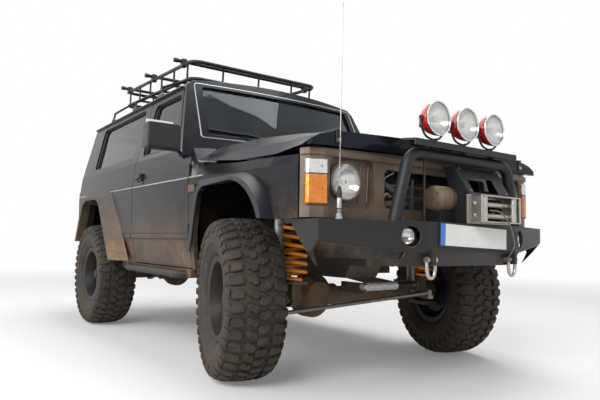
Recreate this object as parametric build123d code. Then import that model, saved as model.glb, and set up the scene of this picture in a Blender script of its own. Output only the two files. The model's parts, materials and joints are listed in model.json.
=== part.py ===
from build123d import *
import math
import os

# A lifted three-door off-road 4x4 in millimetres. X runs forward from the front axle, Y to the
# car's left and Z up from the ground. Each piece is moved when it is written, so that the origin
# lies on the ground under the middle of the car's length.

# Running gear
wheelbase = 2400
wheel_plane = 795
tyre_radius = 425
tyre_width = 310
rim_radius = 203
rim_flange = 226
rim_width = 225
king_pin_y = 650
axle_tube_radius = 45
diff_radius = 125
front_diff_y = -330
rear_diff_y = -120
pitman_x = 110
pitman_y = 395
pitman_z = 400
damper_lug_y = 322
steer_arm_front = 190
steer_arm_rear = 170
arm_thickness = 20
link_radius = 14
drag_radius = 11
ball_radius = 70
stud_radius = 8
joint_clearance = 0.5
eye_clearance = 0.8
flare_lip = 950
rest_turn = 15
step_front = 590
step_rear = 1600
step_tube = 24
step_z = 520
sill_foot = 500
tyre_facets = 24
lugs_round = 16
lug_half = 30
spare_y = -265
spare_z = 1152

# Frame
rail_inner = 360
rail_outer = 430
frame_front = 828
frame_rear = 2960
spring_x = 85
spring_y = 505
spring_radius = 68
spring_wire = 8
spring_coils = 7
front_spring_low = 515
front_spring_high = 828
rear_spring_low = 515
rear_spring_high = 790
damper_radius = 28

# Body
sill_z, sill_half = 550, 836
low_z, low_half = 780, 876
crease_z, crease_half = 1100, 885
belt_z, belt_half = 1300, 860
gutter_z, gutter_half = 1785, 740
roof_crown = 1868
reach = 1000
wall = 55
gap = 7
door_front = 505
door_rear = 1495
door_low = 560
door_high = 1762
body_rear = 3000
screen_foot_x = 700
screen_foot_z = 1430
screen_lean = 0.495
screen_depth = 45
screen_bow = 50
screen_half_low = 680
screen_half_high = 652
glass = 5
bonnet_rear = 530
bonnet_skin = 30
bonnet_shoulder = 700
bonnet_slope = 800
bonnet_rim = 852
bonnet_start = -425
lip_back = 652
lip_sink = 5
wing_skin = 25
tub_wall = 20
floor_z = 700
rear_floor_z = 830
firewall_x = 530

# Nose, bumper and roof
nose_half = 841
panel_x = 660
panel_low = 838
panel_high = 1150
panel_rise = 20
panel_header = 1115
panel_recess = 28
pocket_half = 458
grille_half = 390
grille_low = 897
grille_high = 1085
lamp_low = 895
lamp_high = 1100
headlamp_y, headlamp_z, headlamp_radius = 628, 1008, 86
bumper_x = 885
bumper_half = 842
bumper_corner = 724
bumper_flat = 335
bumper_low = 624
bumper_mid = 690
bumper_end = 746
bumper_top = 830
fog_y, fog_z, fog_radius = 418, 762, 49
shackle_y, shackle_z = 312, 656
bumper_plate = 10
bumper_back = 505
hoop_radius = 29
hoop_x = 800
hoop_foot_y = 466
hoop_top_y = 378
hoop_z = 1154
driving_lamp_radius = 86
driving_lamp_z = 1329
driving_lamp_step = 226
rack_half = 575
rack_front = 1180
rack_rear = 2640
rack_rail_z = 2065
rack_deck_z = 1935
rack_tube = 14
rack_rise = 2.3
mirror_out = 1120
mirror_low, mirror_high = 1275, 1432
whip_top = 2330

# Where the ends of the car lie, and the middle that the origin sits under
front_reach = bumper_x + 70
spare_gap = 30
rear_reach = body_rear + spare_gap + tyre_width
middle_x = (front_reach - rear_reach) / 2

SIDE = [(sill_half, sill_z), (low_half, low_z), (crease_half, crease_z), (belt_half, belt_z),
        (gutter_half, gutter_z)]


def save(name, shape):
    """Write one named piece, moved from the front axle to the car's middle."""
    pieces = list(shape) if isinstance(shape, (list, tuple)) else [shape]
    solids = [s for p in pieces for s in p.solids()]
    whole = Compound(children=[Pos(-middle_x, 0, 0) * s for s in solids])
    if len(solids) == 1:
        whole = Pos(-middle_x, 0, 0) * solids[0]
    export_step(whole, os.path.join("parts", name + ".step"))


def prism_xz(points, y_low, y_high, radii=None):
    """Solid between two Y planes with an outline of (x, z) points, corners rounded by radii."""
    sketch = Plane.XZ.offset(-y_high) * rounded(points, radii)
    return extrude(sketch, amount=y_high - y_low, dir=(0, -1, 0))


def prism_yz(points, x_low, x_high, radii=None):
    """Solid between two X planes with an outline of (y, z) points."""
    sketch = Plane.YZ.offset(x_low) * rounded(points, radii)
    return extrude(sketch, amount=x_high - x_low, dir=(1, 0, 0))


def prism_xy(points, z_low, z_high, radii=None):
    """Solid between two Z planes with an outline of (x, y) points."""
    sketch = Plane.XY.offset(z_low) * rounded(points, radii)
    return extrude(sketch, amount=z_high - z_low, dir=(0, 0, 1))


def rounded(points, radii=None):
    """Outline through the points, with the corner at each index in radii rounded."""
    sketch = Polygon(*points, align=None)
    for index, radius in (radii or {}).items():
        corner = Vector(points[index][0], points[index][1], 0)
        vertex = min(sketch.vertices(), key=lambda v: (Vector(v.X, v.Y, 0) - corner).length)
        sketch = fillet(vertex, radius)
    return sketch


def block(x_low, x_high, y_low, y_high, z_low, z_high):
    """Box between its low and high corners."""
    size = (x_high - x_low, y_high - y_low, z_high - z_low)
    return Pos((x_low + x_high) / 2, (y_low + y_high) / 2, (z_low + z_high) / 2) * Box(*size)


def rod(start, end, radius):
    """Round bar between two points."""
    a, b = Vector(*start), Vector(*end)
    plane = Plane(origin=a, z_dir=(b - a))
    return extrude(plane * Circle(radius), amount=(b - a).length)


def tube(points, radius, bend, closed=False):
    """Round bar along straight runs joined by arcs of one bend radius."""
    path = FilletPolyline(*points, radius=bend, close=closed)
    start = Plane(origin=path @ 0, z_dir=path % 0)
    return sweep(start * Circle(radius), path=path)


def turned(profile, centre, axis):
    """Solid of revolution about a line through centre: profile rows are (radius, place)."""
    sketch = Plane.XZ * Polygon(*profile, align=None)
    body = revolve(sketch, axis=Axis.Z)
    return Plane(origin=centre, z_dir=axis) * body


def both(shape):
    """A piece on the car's right and its mirror image on the left."""
    return [shape, mirror(shape, about=Plane.XZ)]


def joined(pieces):
    """Fuse a list of solids into one."""
    whole = pieces[0]
    for piece in pieces[1:]:
        whole = whole + piece
    return whole


def half_width(z, inset=0):
    """Half width of the body's side at a height."""
    for (y0, z0), (y1, z1) in zip(SIDE, SIDE[1:]):
        if z <= z1:
            return y0 + (y1 - y0) * (z - z0) / (z1 - z0) - inset
    return SIDE[-1][0] - inset


def screen_x(z):
    """X of the windscreen's face at its corners, at a height."""
    return -screen_foot_x - (z - screen_foot_z) * screen_lean


def screen_rear(z):
    """X of the back of the windscreen's pillar where it meets the body's side."""
    bow = screen_bow * (1 - (half_width(z) / screen_half_low) ** 2)
    return screen_x(z) + bow - screen_depth


def side_slab(x_low, x_high, depth):
    """The right side's wall as one slab that follows the body's section."""
    outer = [(-y, z) for y, z in SIDE]
    inner = [(-y + depth, z) for y, z in reversed(SIDE)]
    return prism_yz(outer + inner, x_low, x_high)


def body_envelope(x_low, x_high, inset, z_low=sill_z):
    """Everything inside the body's section, from a sill height to the crowned roof."""
    rows = [(half_width(z_low), z_low)] + [row for row in SIDE if row[1] > z_low]
    right = [(-(y - inset), z) for y, z in rows]
    left = [(y - inset, z) for y, z in reversed(rows)]
    shoulder = (gutter_half - 40 - inset, gutter_z + 42 - inset)
    lines = Polyline((-shoulder[0], shoulder[1]), *reversed(right), *reversed(left), shoulder)
    roof_arc = ThreePointArc(shoulder, (0, roof_crown - inset), (-shoulder[0], shoulder[1]))
    sketch = Plane.YZ.offset(x_low) * make_face(lines.edges() + roof_arc.edges())
    return extrude(sketch, amount=x_high - x_low, dir=(1, 0, 0))


# Wheel arches: outlines in the side view as rear foot, rear top, front top, front foot, height
# of the top, and the radii of the rear and front top corners. The wall of each flare runs from
# the body's skin at the foot outline to the lip outline further out.
arch_foot_z = 300
ARCHES = {
    "front_opening": (-542, -365, 335, 570, 1036, 100, 330),
    "front_lip": (-571, -385, 365, 600, 1052, 110, 330),
    "front_foot": (-593, -400, 355, 585, 1080, 120, 300),
    "rear_opening": (-3022, -2600, -2165, -1615, 1058, 170, 170),
    "rear_lip": (-3050, -2630, -2140, -1560, 1084, 170, 150),
    "rear_foot": (-2905, -2820, -2000, -1327, 1140, 80, 70),
}


def arch_outline(name):
    """Closed side-view outline of one arch row."""
    rear_low, rear_top, front_top, front_low, top, rear_radius, front_radius = ARCHES[name]
    points = [(rear_low, arch_foot_z), (rear_top, top), (front_top, top), (front_low, arch_foot_z)]
    return rounded(points, {1: rear_radius, 2: front_radius})


def arch_cut(name, y_low, y_high):
    """Cutter through the body's right side with an arch outline."""
    sketch = Plane.XZ.offset(-y_high) * arch_outline(name)
    return extrude(sketch, amount=y_high - y_low, dir=(0, -1, 0))


def chassis_frame():
    """Ladder frame: two cranked rails, cross members, and the towers over the springs."""
    top = [(frame_front, 760), (-200, 760), (-525, 690), (-1750, 690), (-2050, 820), (-2700, 820),
           (-frame_rear, 722)]
    low = [(-frame_rear, 640), (-2700, 700), (-2050, 700), (-1750, 570), (-525, 570), (-200, 640),
           (790, 655), (frame_front, 716)]
    rail = prism_xz(top + low, -rail_outer, -rail_inner)
    pieces = both(rail)
    # cross members: rear X, front X, low Z, high Z
    for x_low, x_high, z_low, z_high in ((380, 500, 660, 760), (600, 660, 660, 755),
                                         (-1560, -1480, 615, 685), (-2090, -2010, 715, 800),
                                         (-2560, -2500, 715, 810), (-2940, -2890, 650, 715)):
        pieces.append(block(x_low, x_high, -rail_inner - 5, rail_inner + 5, z_low, z_high))
    towers = ((spring_x, front_spring_high, 760, 80), (-wheelbase, rear_spring_high, 700, 80))
    for x, seat_z, low_z_tower, half in towers:
        arm = block(x - half, x + half, -spring_y - 30, -rail_inner - 20, seat_z, seat_z + 25)
        cup = Pos(x, -spring_y, seat_z + 12.5) * Cylinder(spring_radius + 4, 25)
        web = joined([prism_yz([(-rail_outer, low_z_tower), (-rail_outer - 12, low_z_tower),
                                (-spring_y, seat_z + 5), (-rail_outer, seat_z + 5)], edge, edge + 8)
                      for edge in (x - half, x + half - 8)])
        post = block(x - half, x + half, -rail_outer, -rail_inner, low_z_tower - 5, seat_z + 25)
        pieces += both(arm + cup + web + post)
    for x, top_z in ((-30, 900), (-2240, 806)):
        ear = block(x - 30, x + 30, -565, -rail_inner - 20, top_z, top_z + 14)
        post = block(x - 30, x + 30, -rail_outer, -rail_inner, 700, top_z + 14)
        pieces += both(ear + post)
    pieces += both(block(-785, -742, -420, -370, 500, 575))
    box = block(pitman_x - 45, pitman_x + 45, rail_inner - 10, rail_outer, 600, 650)
    bore = rod((pitman_x, pitman_y, 590), (pitman_x, pitman_y, 635), 20 + joint_clearance)
    return joined(pieces + [box]) - bore


def axle(x, diff_y, end_y, nose):
    """Beam axle: tube, round differential housing and its nose towards the gearbox."""
    z = tyre_radius
    beam = rod((x, -end_y, z), (x, end_y, z), axle_tube_radius)
    housing = turned([(0, -95), (85, -80), (diff_radius, -40), (diff_radius, 30), (80, 85), (0, 95)],
                     (x, diff_y, z), (1, 0, 0))
    pinion = rod((x, diff_y, z), (x + nose, diff_y, z), 34)
    flange = rod((x + nose * 0.93, diff_y, z), (x + nose, diff_y, z), 44)
    body = beam + housing + pinion + flange
    for side in (-1, 1):
        body = body + rod((x, diff_y, z), (x, diff_y + side * 165, z), 62)
    return body


def front_axle():
    """Front beam with ball ends for the knuckles, spring seats and the steering damper's lugs."""
    body = axle(0, front_diff_y, king_pin_y, -215)
    for side in (-1, 1):
        body = body + Pos(0, side * king_pin_y, tyre_radius) * Sphere(ball_radius)
        seat = Pos(spring_x, side * spring_y, front_spring_low - 8) * Cylinder(spring_radius + 4, 16)
        neck = block(0, spring_x + 20, side * spring_y - 30, side * spring_y + 30,
                     tyre_radius - 10, front_spring_low - 5)
        body = body + seat + neck
    for y in (-110, damper_lug_y + 8):
        body = body + block(20, 225, y - 8, y + 8, 440, 500)
    return body


def rear_axle():
    """Rear beam with spring seats and brake drums behind the wheels."""
    body = axle(-wheelbase, rear_diff_y, wheel_plane - 60, 215)
    for side in (-1, 1):
        drum = rod((-wheelbase, side * 640, tyre_radius), (-wheelbase, side * 735, tyre_radius), 150)
        seat = Pos(-wheelbase, side * spring_y, rear_spring_low - 8) * Cylinder(spring_radius + 4, 16)
        neck = block(-wheelbase - 30, -wheelbase + 30, side * spring_y - 40, side * spring_y + 40,
                     tyre_radius, rear_spring_low - 5)
        body = body + drum + seat + neck
    return body


def suspension_arms():
    """Front radius arms, rear trailing arms and the two cross rods, none touching another."""
    arms = []
    front = prism_xz([(60, 372), (60, 378), (-60, 478), (-740, 538), (-740, 500), (-100, 425),
                      (-60, 372)], -412, -376)
    housing = rod((-97, front_diff_y, tyre_radius), (97, front_diff_y, tyre_radius),
                  diff_radius + joint_clearance)
    tube_cut = rod((0, 0, tyre_radius), (0, 500, tyre_radius), axle_tube_radius + joint_clearance)
    arms += [front - housing, mirror(front, about=Plane.XZ) - tube_cut]
    near = axle_tube_radius - wheelbase
    rear = prism_xz([(near + 555, 568), (near + 515, 568), (near, 420), (near, 370), (near + 25, 370),
                     (near + 555, 520)], -420, -385)
    arms += both(rear)
    return arms


def coil_springs():
    """Four coil springs: a stack of rings on a bump-stop core."""
    rows = ((spring_x, front_spring_low, front_spring_high), (-wheelbase, rear_spring_low, rear_spring_high))
    springs = []
    for x, low, high in rows:
        pitch = (high - low) / spring_coils
        core = Pos(x, -spring_y, (low + high) / 2) * Cylinder(spring_radius - 2 * spring_wire, high - low)
        for coil in range(spring_coils):
            ring = Torus(spring_radius - spring_wire, spring_wire + 1)
            core = core + Pos(x, -spring_y, low + pitch * (coil + 0.5)) * ring
        springs += both(core)
    return springs


def dampers():
    """Four telescopic dampers and the steering damper across the front."""
    pieces = []
    for x, low, high in ((-30, 471, 900), (-2240, 471, 806)):
        lower = rod((x, -535, low), (x, -535, (low + high) / 2 + 40), damper_radius)
        upper = rod((x, -535, low), (x, -535, high), 12)
        pieces += both(lower + upper)
    barrel = rod((205, -100, 478), (205, 150, 478), 24)
    piston = rod((205, -102, 478), (205, damper_lug_y, 478), 10)
    boot = rod((205, 235, 478), (205, 305, 478), 20)
    pieces.append(barrel + piston + boot)
    return pieces


def powertrain():
    """Engine block, gearbox and transfer case with both propshafts, as one assembly."""
    engine = block(-430, 320, -190, 230, 600, 1080)
    sump = prism_xz([(-380, 605), (120, 605), (60, 520), (-380, 520)], -130, 130)
    gearbox = rod((-430, 0, 690), (-1080, 0, 650), 100)
    transfer = block(-1300, -1040, -310, 110, 540, 688)
    z = tyre_radius
    front_shaft = rod((-1045, -270, 600), (-230, front_diff_y, z), 26)
    rear_shaft = rod((-1295, -40, 590), (-wheelbase + 230, rear_diff_y, z), 32)
    front_joint = rod((-236, front_diff_y, z), (-215, front_diff_y, z), 42)
    rear_joint = rod((-wheelbase + 236, rear_diff_y, z), (-wheelbase + 215, rear_diff_y, z), 46)
    return joined([engine, sump, gearbox, transfer, front_shaft, rear_shaft, front_joint, rear_joint])


def fuel_tank():
    """Tank between the rails behind the rear axle."""
    points = [(-2620, 690), (-2620, 580), (-2680, 540), (-2880, 560), (-2880, 690)]
    return prism_xz(points, -330, 330)


def exhaust():
    """Pipe along the left of the gearbox, silencer and tail."""
    pipe = tube([(-250, 290, 640), (-700, 290, 540), (-1500, 290, 530), (-1900, 300, 600),
                 (-2300, 300, 620), (-2600, 380, 600), (-2940, 560, 590)], 24, 60)
    silencer = rod((-1380, 290, 531.5), (-960, 290, 536.75), 75)
    return pipe + silencer


def cab_tub():
    """Floor, firewall, inner wings, sills and rear wheel houses in one pressing."""
    low_inner = half_width(door_low) - wall - 2
    floor = block(-1760, -firewall_x, -780, 780, floor_z, floor_z + tub_wall)
    riser = block(-1760, -1740, -780, 780, floor_z, rear_floor_z + tub_wall)
    boot = block(-body_rear + wall + 10, -1740, -600, 600, rear_floor_z, rear_floor_z + tub_wall)
    firewall = block(-firewall_x - tub_wall, -firewall_x, -low_inner, low_inner, door_low, 1205)
    firewall = firewall - block(-600, -500, -rail_outer - 8, rail_outer + 8, 500, floor_z)
    firewall = firewall - block(-600, -500, -150, 150, 500, 805)
    pieces = [floor, riser, boot, firewall]
    for side in (-1, 1):
        sill = block(-1960, -firewall_x, *sorted((side * 700, side * low_inner)), 500, floor_z + tub_wall)
        foot = block(-door_rear - gap, -firewall_x, *sorted((side * 700, side * sill_half)), 500,
                     door_low - gap)
        pieces += [sill, foot]
        y_in, y_out = 600, half_width(belt_z) - wall - 30
        house = block(-2860, -1940, min(side * y_in, side * y_out), max(side * y_in, side * y_out),
                      rear_floor_z, 1130)
        well = block(-2880 + tub_wall, -1960, min(side * (y_in + tub_wall), side * 900),
                     max(side * (y_in + tub_wall), side * 900), 300, 1130 - tub_wall)
        pieces.append(house - well)
        apron = block(-firewall_x, 600, side * 447 - 10, side * 447 + 10, 765, 1150)
        shelf = block(-firewall_x, 600, min(side * 440, side * 700), max(side * 440, side * 700), 1130, 1150)
        pieces += [apron, shelf]
    tub = joined(pieces)
    tunnel = block(-1300, -500, -150, 150, 690, 804)
    for side in (-1, 1):
        for x in (spring_x, -30):
            tub = tub - block(x - 90, x + 90, side * 470 - 60, side * 470 + 60, 700, 920)
    tub = tub - tunnel
    cover = block(-1320, -firewall_x, -170, 170, floor_z + 18, 825) - block(-1300, -400, -150, 150, 600, 805)
    return tub + cover


def quarter_window(grow=0):
    """Cutter of the long side window behind the door."""
    points = [(-2640 - grow, 1352 - grow), (-2690 - grow, 1740 + grow), (-1610 + grow, 1740 + grow),
              (-1600 + grow, 1352 - grow)]
    return prism_xz(points, -1000, -500, {0: 45, 1: 45, 2: 45, 3: 45})


def side_panel():
    """Right body side behind the door, with the quarter window and the wheel arch cut out."""
    panel = side_slab(-body_rear, -door_rear - gap, wall)
    panel = panel & block(-body_rear - 1, -door_rear, -1000, 0, sill_z, door_high + gap)
    panel = panel - arch_cut("rear_opening", -1000, -500) - quarter_window()
    return panel - block(-body_rear - 1, -2840, -1000, 0, sill_z - 1, 640)


def roof():
    """Crowned roof with its drip rails, down to the tops of the doors."""
    low = door_high + gap
    front, above = -screen_foot_x - 170, roof_crown + 130
    shell = body_envelope(-body_rear, front, 0, low)
    shell = shell - body_envelope(-body_rear - 1, front + 70, 30, low - 60)
    shell = shell & block(-body_rear, front, -reach, reach, low, above)
    shell = shell - screen_band(-400, screen_depth, low - 10, roof_crown + 32)
    header = body_envelope(-body_rear, -body_rear + wall, 20, low)
    header = header & block(-body_rear - 100, -body_rear + 100, -reach, reach, low, above)
    shell = shell + header
    for side in (-1, 1):
        rail = block(-body_rear, front - 90, side * gutter_half - 18, side * gutter_half + 18,
                     gutter_z - 6, gutter_z + 6)
        shell = shell + rail
    return shell


def screen_band(front, back, z_low, z_high):
    """Slanted and bowed sheet along the windscreen, between two depths behind its face."""
    half = 900
    bow = screen_bow * (half / screen_half_low) ** 2
    x = screen_x(z_low) - back - (bow - screen_bow)
    face = ThreePointArc((x + back - front, -half), (x + back - front + bow, 0), (x + back - front, half))
    rear = ThreePointArc((x, half), (x + bow, 0), (x, -half))
    ends = [Line((x, -half), (x + back - front, -half)), Line((x + back - front, half), (x, half))]
    edges = face.edges() + rear.edges() + ends[0].edges() + ends[1].edges()
    sketch = Plane.XY.offset(z_low) * make_face(edges)
    rise = z_high - z_low
    length = rise * math.hypot(1, screen_lean)
    return extrude(sketch, amount=length, dir=(-screen_lean, 0, 1))


def screen_opening(grow=0):
    """Cutter of the windscreen's opening, seen from the front."""
    low, high = screen_foot_z - grow, 1800 + grow
    points = [(-screen_half_low - grow, low), (-screen_half_high - grow, high),
              (screen_half_high + grow, high), (screen_half_low + grow, low)]
    return prism_yz(points, -1300, -300, {0: 50, 1: 50, 2: 50, 3: 50})


def windscreen_frame():
    """Pillars, header and cowl round the windscreen."""
    band = screen_band(0, screen_depth, 1262, 1890)
    frame = band & body_envelope(-1300, -300, 0, 1255)
    cowl = block(-screen_foot_x - 20, -firewall_x - tub_wall, -735, 735, 1205, 1262)
    return frame - screen_opening() + cowl


def fixed_glass():
    """Windscreen and the two quarter windows."""
    screen = screen_band(18, 18 + glass, 1400, 1830) & screen_opening()
    pane = side_slab(-2800, -1550, 25 + glass) - side_slab(-2801, -1549, 25)
    pane = pane & quarter_window()
    return [screen] + both(pane)


# Wing sections: station X, then half width and height of the bonnet edge, inner shoulder, outer
# shoulder, crease, low line and sill.
WING = (
    (-door_front + gap, ((bonnet_shoulder + gap, 1296), (790, 1292), (belt_half, 1286),
                         (crease_half, crease_z), (low_half, low_z), (sill_half, sill_z))),
    (bonnet_start - 20, ((bonnet_shoulder + gap, 1230), (790, 1222), (856, 1206), (crease_half, crease_z),
                         (low_half, low_z), (sill_half, sill_z))),
    (bonnet_start + 40, ((760, 1160), (800, 1160), (858, 1172), (crease_half, crease_z),
                         (low_half, low_z), (sill_half, sill_z))),
    (50, ((760, 1112), (800, 1112), (862, 1138), (crease_half, crease_z - 15), (low_half, low_z),
          (sill_half, sill_z))),
    (400, ((760, 1104), (800, 1104), (858, 1128), (crease_half - 4, crease_z - 18), (low_half, low_z),
           (sill_half, sill_z))),
    (575, ((760, 1100), (790, 1100), (nose_half - 4, 1124), (nose_half + 4, 1080), (nose_half, low_z),
           (nose_half - 6, sill_z))),
)


def front_wing():
    """Right front wing as a skin through four sections, with its wheel arch cut out."""
    faces = []
    for x, rows in WING:
        outer = [(-y, z) for y, z in rows]
        inner = [(-y + wing_skin * (0 if i == 0 else 1), z - wing_skin * (1 if i < 3 else 0))
                 for i, (y, z) in enumerate(rows)]
        faces.append(Plane.YZ.offset(x) * Polygon(*(outer + inner[::-1]), align=None))
    skin = loft(faces, ruled=True)
    skin = skin - arch_cut("front_opening", -1000, -500)
    return skin - block(300, 700, -1000, -500, 400, bumper_top + 4)


def wheel_arch_flares():
    """Flare over each wheel arch, from the body's skin out to its lip."""
    flares = []
    for end, trim in (("front", bumper_top + 4), ("rear", 566)):
        foot = Plane.XZ.offset(low_half) * arch_outline(end + "_foot")
        lip = Plane.XZ.offset(flare_lip) * arch_outline(end + "_lip")
        flare = loft([foot, lip], ruled=True) - arch_cut(end + "_opening", -1000, -500)
        if end == "front":
            flare = flare - block(200, 1400, -1000, -500, 200, trim)
            flare = flare - block(-700, 200, -1000, -500, 200, 660)
            # towards the door the lip runs in until it lies almost flush with the wing
            flare = flare - prism_xy([(-700, -low_half - 8), (-330, -low_half - 13), (120, -flare_lip - 1),
                                      (120, -flare_lip - 50), (-700, -flare_lip - 50)], 200, 1300)
        else:
            flare = flare - block(-3200, -1000, -1000, -500, 200, trim)
            flare = flare - block(-3200, -2500, -1000, -500, 200, 700)
        flares.append(flare)
    skin = front_wing()
    panel = side_slab(-body_rear, -door_rear - gap, wall)
    return [flares[0] - skin, flares[1] - panel]


def crest(lift):
    """Upper edge of the nose from its right corner over the middle to the left, as (y, z)."""
    half = bonnet_rim + 10
    return [(-half, panel_high + lift), (0, panel_high + panel_rise + lift), (half, panel_high + lift)]


def front_panel():
    """Nose panel with wrapped corners, round lamp holes and an open grille."""
    x, h = panel_x, nose_half
    half = [(x, 0), (x, -h + 78), (x - 25, -h + 18), (x - 75, -h), (x - 75, -h + 35), (x - 50, -h + 66),
            (x - 40, -h + 101), (x - 40, 0)]
    right = prism_xy(half, panel_low, panel_high + panel_rise)
    end = bonnet_rim + 10
    above = prism_yz(crest(0) + [(end, 1300), (-end, 1300)], x - 100, x + 100)
    panel = (right + mirror(right, about=Plane.XZ)) - above
    pocket = block(x - panel_recess, x + 1, -h + 112, -pocket_half, panel_low + 50, panel_header)
    pocket = fillet(pocket.edges().filter_by(Axis.X), 30)
    panel = panel - pocket - mirror(pocket, about=Plane.XZ)
    for side in (-1, 1):
        panel = panel - rod((x - 60, side * headlamp_y, headlamp_z), (x + 10, side * headlamp_y, headlamp_z),
                            headlamp_radius + 6)
    opening = block(x - 60, x + 10, -grille_half, grille_half, grille_low, grille_high)
    return panel - fillet(opening.edges().filter_by(Axis.X), 24)


def radiator():
    """Radiator core standing on the front cross member."""
    return block(400, 460, -330, 330, 760, 1110)


def road_lamps():
    """Headlamps, corner lamps and tail lamps."""
    lamps = []
    x = panel_x
    head = turned([(0, -70), (60, -60), (headlamp_radius, -10), (headlamp_radius, 0), (60, 14), (0, 20)],
                  (x - panel_recess, -headlamp_y, headlamp_z), (1, 0, 0))
    lamps += both(head)
    h = nose_half + 0.1
    corner = prism_xy([(x + 0.1, -h + 98), (x + 8, -h + 96), (x + 8, -h + 74), (x - 19, -h + 9),
                       (x - 40, -h - 2),
                       (x - 40, -h + 12), (x - 25, -h + 18), (x, -h + 78)], lamp_low, lamp_high)
    lamps += both(corner)
    tail = block(-body_rear - 22, -body_rear, -half_width(1000) + 6, -half_width(1000) + 52, 930, 1160)
    lamps += both(tail)
    return lamps


def bumper_outline(inset, back):
    """Plan of the bumper, inset from its outer faces."""
    x, h = bumper_x - inset, bumper_half - inset
    return [(back, -h), (bumper_corner - inset, -h), (x, -bumper_flat), (x, bumper_flat),
            (bumper_corner - inset, h), (back, h)]


def front_bumper():
    """Folded plate winch bumper, open behind and below, with the hoop and its lamp plate."""
    def lump(inset, back, top):
        low = Plane.XY.offset(bumper_low) * Polygon(*bumper_outline(inset + 55, back), align=None)
        mid = Plane.XY.offset(bumper_mid) * Polygon(*bumper_outline(inset, back), align=None)
        return loft([low, mid], ruled=True) + prism_xy(bumper_outline(inset, back), bumper_mid, top)
    shell = lump(0, bumper_back, bumper_top)
    shell = shell - lump(bumper_plate, bumper_back - 20, bumper_top - bumper_plate)
    shell = shell - block(400, 890, -700, 700, bumper_low - 5, bumper_low + 0.5)
    notch = block(bumper_back - 5, 600, -770, 770, bumper_top - 15, bumper_top + 5)
    shell = shell - notch
    lean = math.atan2(bumper_x - bumper_corner, bumper_half - bumper_flat)
    fog_x = bumper_x - (fog_y - bumper_flat) * math.tan(lean)
    fold = Vector(bumper_corner - bumper_x, bumper_flat - bumper_half, bumper_end - bumper_mid)
    inward = Vector(-math.cos(lean), math.sin(lean), -66 / 55)
    under = Plane(origin=(bumper_x, -bumper_flat, bumper_mid), x_dir=fold, z_dir=fold.cross(inward))
    rise = under * Box(1400, 1400, 300, align=(Align.CENTER, Align.CENTER, Align.MIN))
    rise = rise & block(400, 1000, -1000, -bumper_flat + 30, 300, bumper_top)
    rear_cut = prism_xz([(400, 500), (400, bumper_top), (bumper_back + 5, bumper_top), (640, bumper_mid),
                         (640, 500)], -1000, -600)
    for cut in both(rise) + both(rear_cut):
        shell = shell - cut
    for side in (-1, 1):
        dx, dy = 35 * math.cos(lean), 35 * math.sin(lean)
        start = (fog_x - dx, side * (fog_y - dy), fog_z)
        shell = shell - rod(start, (fog_x + dx, side * (fog_y + dy), fog_z), fog_radius)
        y, z = side * shackle_y, shackle_z
        lug = block(825, 905, y - 10, y + 10, z - 24, bumper_mid + 10)
        shell = shell + (lug - rod((880, y - 20, z), (880, y + 20, z), 11))
    hoop = tube([(hoop_x, -hoop_foot_y, bumper_top - 4), (hoop_x + 9, -hoop_top_y, hoop_z),
                 (hoop_x + 9, hoop_top_y, hoop_z), (hoop_x, hoop_foot_y, bumper_top - 4)],
                hoop_radius, 85)
    plate = prism_xz([(785, 1221), (868, 1212), (868, 1182), (860, 1182), (860, 1203), (785, 1211)],
                     -398, 385)
    props = [block(800, 818, y - 25, y + 25, hoop_z, 1214) for y in (-230, 0, 230)]
    stay = rod((hoop_x + 9, -275, bumper_top - 4), (hoop_x + 9, -275, hoop_z), 6)
    return joined([shell, hoop, plate, stay] + props)


def driving_lamps():
    """Three round driving lamps on feet on the hoop's plate."""
    lamps = []
    r = driving_lamp_radius
    for index in (-1, 0, 1):
        y = index * driving_lamp_step
        shell = turned([(0, -92), (40, -86), (70, -55), (r, -12), (r, 4), (r - 10, 10), (0, 16)],
                       (848, y, driving_lamp_z), (1, 0, 0))
        foot = rod((812, y, 1218), (812, y, driving_lamp_z), 14)
        base = Pos(812, y, 1224) * Cylinder(24, 10)
        lamps.append(shell + (foot + base - block(700, 900, y - 60, y + 60, 1100, 1221)))
    return lamps


def winch():
    """Drum winch with motor and gear ends, its control box bridge and the roller fairlead."""
    z, radius = winch_z, 67
    base = block(690, 790, -140, 330, bumper_top, 892)
    motor = rod((735, -146, z), (735, 30, z), radius)
    drum = rod((735, 20, z), (735, 200, z), 46)
    gear = rod((735, 195, z), (735, 330, z), radius)
    cover = prism_xz([(714, 1128), (785, 1128), (878, 975), (878, bumper_top), (800, bumper_top)], -24, 314)
    inside = prism_xz([(690, 1120), (781, 1120), (870, 973), (870, bumper_top - 1), (770, bumper_top - 1)],
                      -16, 306)
    window = block(780, 900, 20, 225, 988, 1065)
    plate = block(874, bumper_x - 1, -52, 302, bumper_top, 975)
    port = block(860, 900, 40, 212, 885, 912)
    rollers = [rod((912, -30, zz), (912, 281, zz), 14) for zz in (870, 928)]
    posts = [rod((935, y, 838), (935, y, 966), 18) for y in (7, 244)]
    cheeks = [block(bumper_x - 2, 955, y - 8, y + 8, 838, 970) for y in (-30, 281)]
    ledges = [block(bumper_x - 2, 955, -38, 289, z_low, z_low + 7) for z_low in (836, 963)]
    frame = rollers + posts + cheeks + ledges
    return joined([base, motor, drum, gear, cover - inside - window, plate - port] + frame)


winch_z = 954
ROPE = ((928, 62, 898), (958, 76, 897), (970, 112, 880), (971, 158, 838), (964, 199, 786), (951, 230, 741),
        (930, 255, 704), (892, 261, 667))
rope_radius = 4


def winch_rope():
    """Free steel rope from the fairlead down to the left shackle."""
    runs = [(Vector(*b) - Vector(*a)) for a, b in zip(ROPE, ROPE[1:])]
    radii = []
    for first, second in zip(runs, runs[1:]):
        turn = math.radians(first.get_angle(second))
        radii.append(0.45 * min(first.length, second.length) / math.tan(turn / 2))
    path = FilletPolyline(*ROPE, radius=radii)
    start = Plane(origin=path @ 0, z_dir=path % 0)
    return sweep(start * Circle(rope_radius), path=path)


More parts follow.
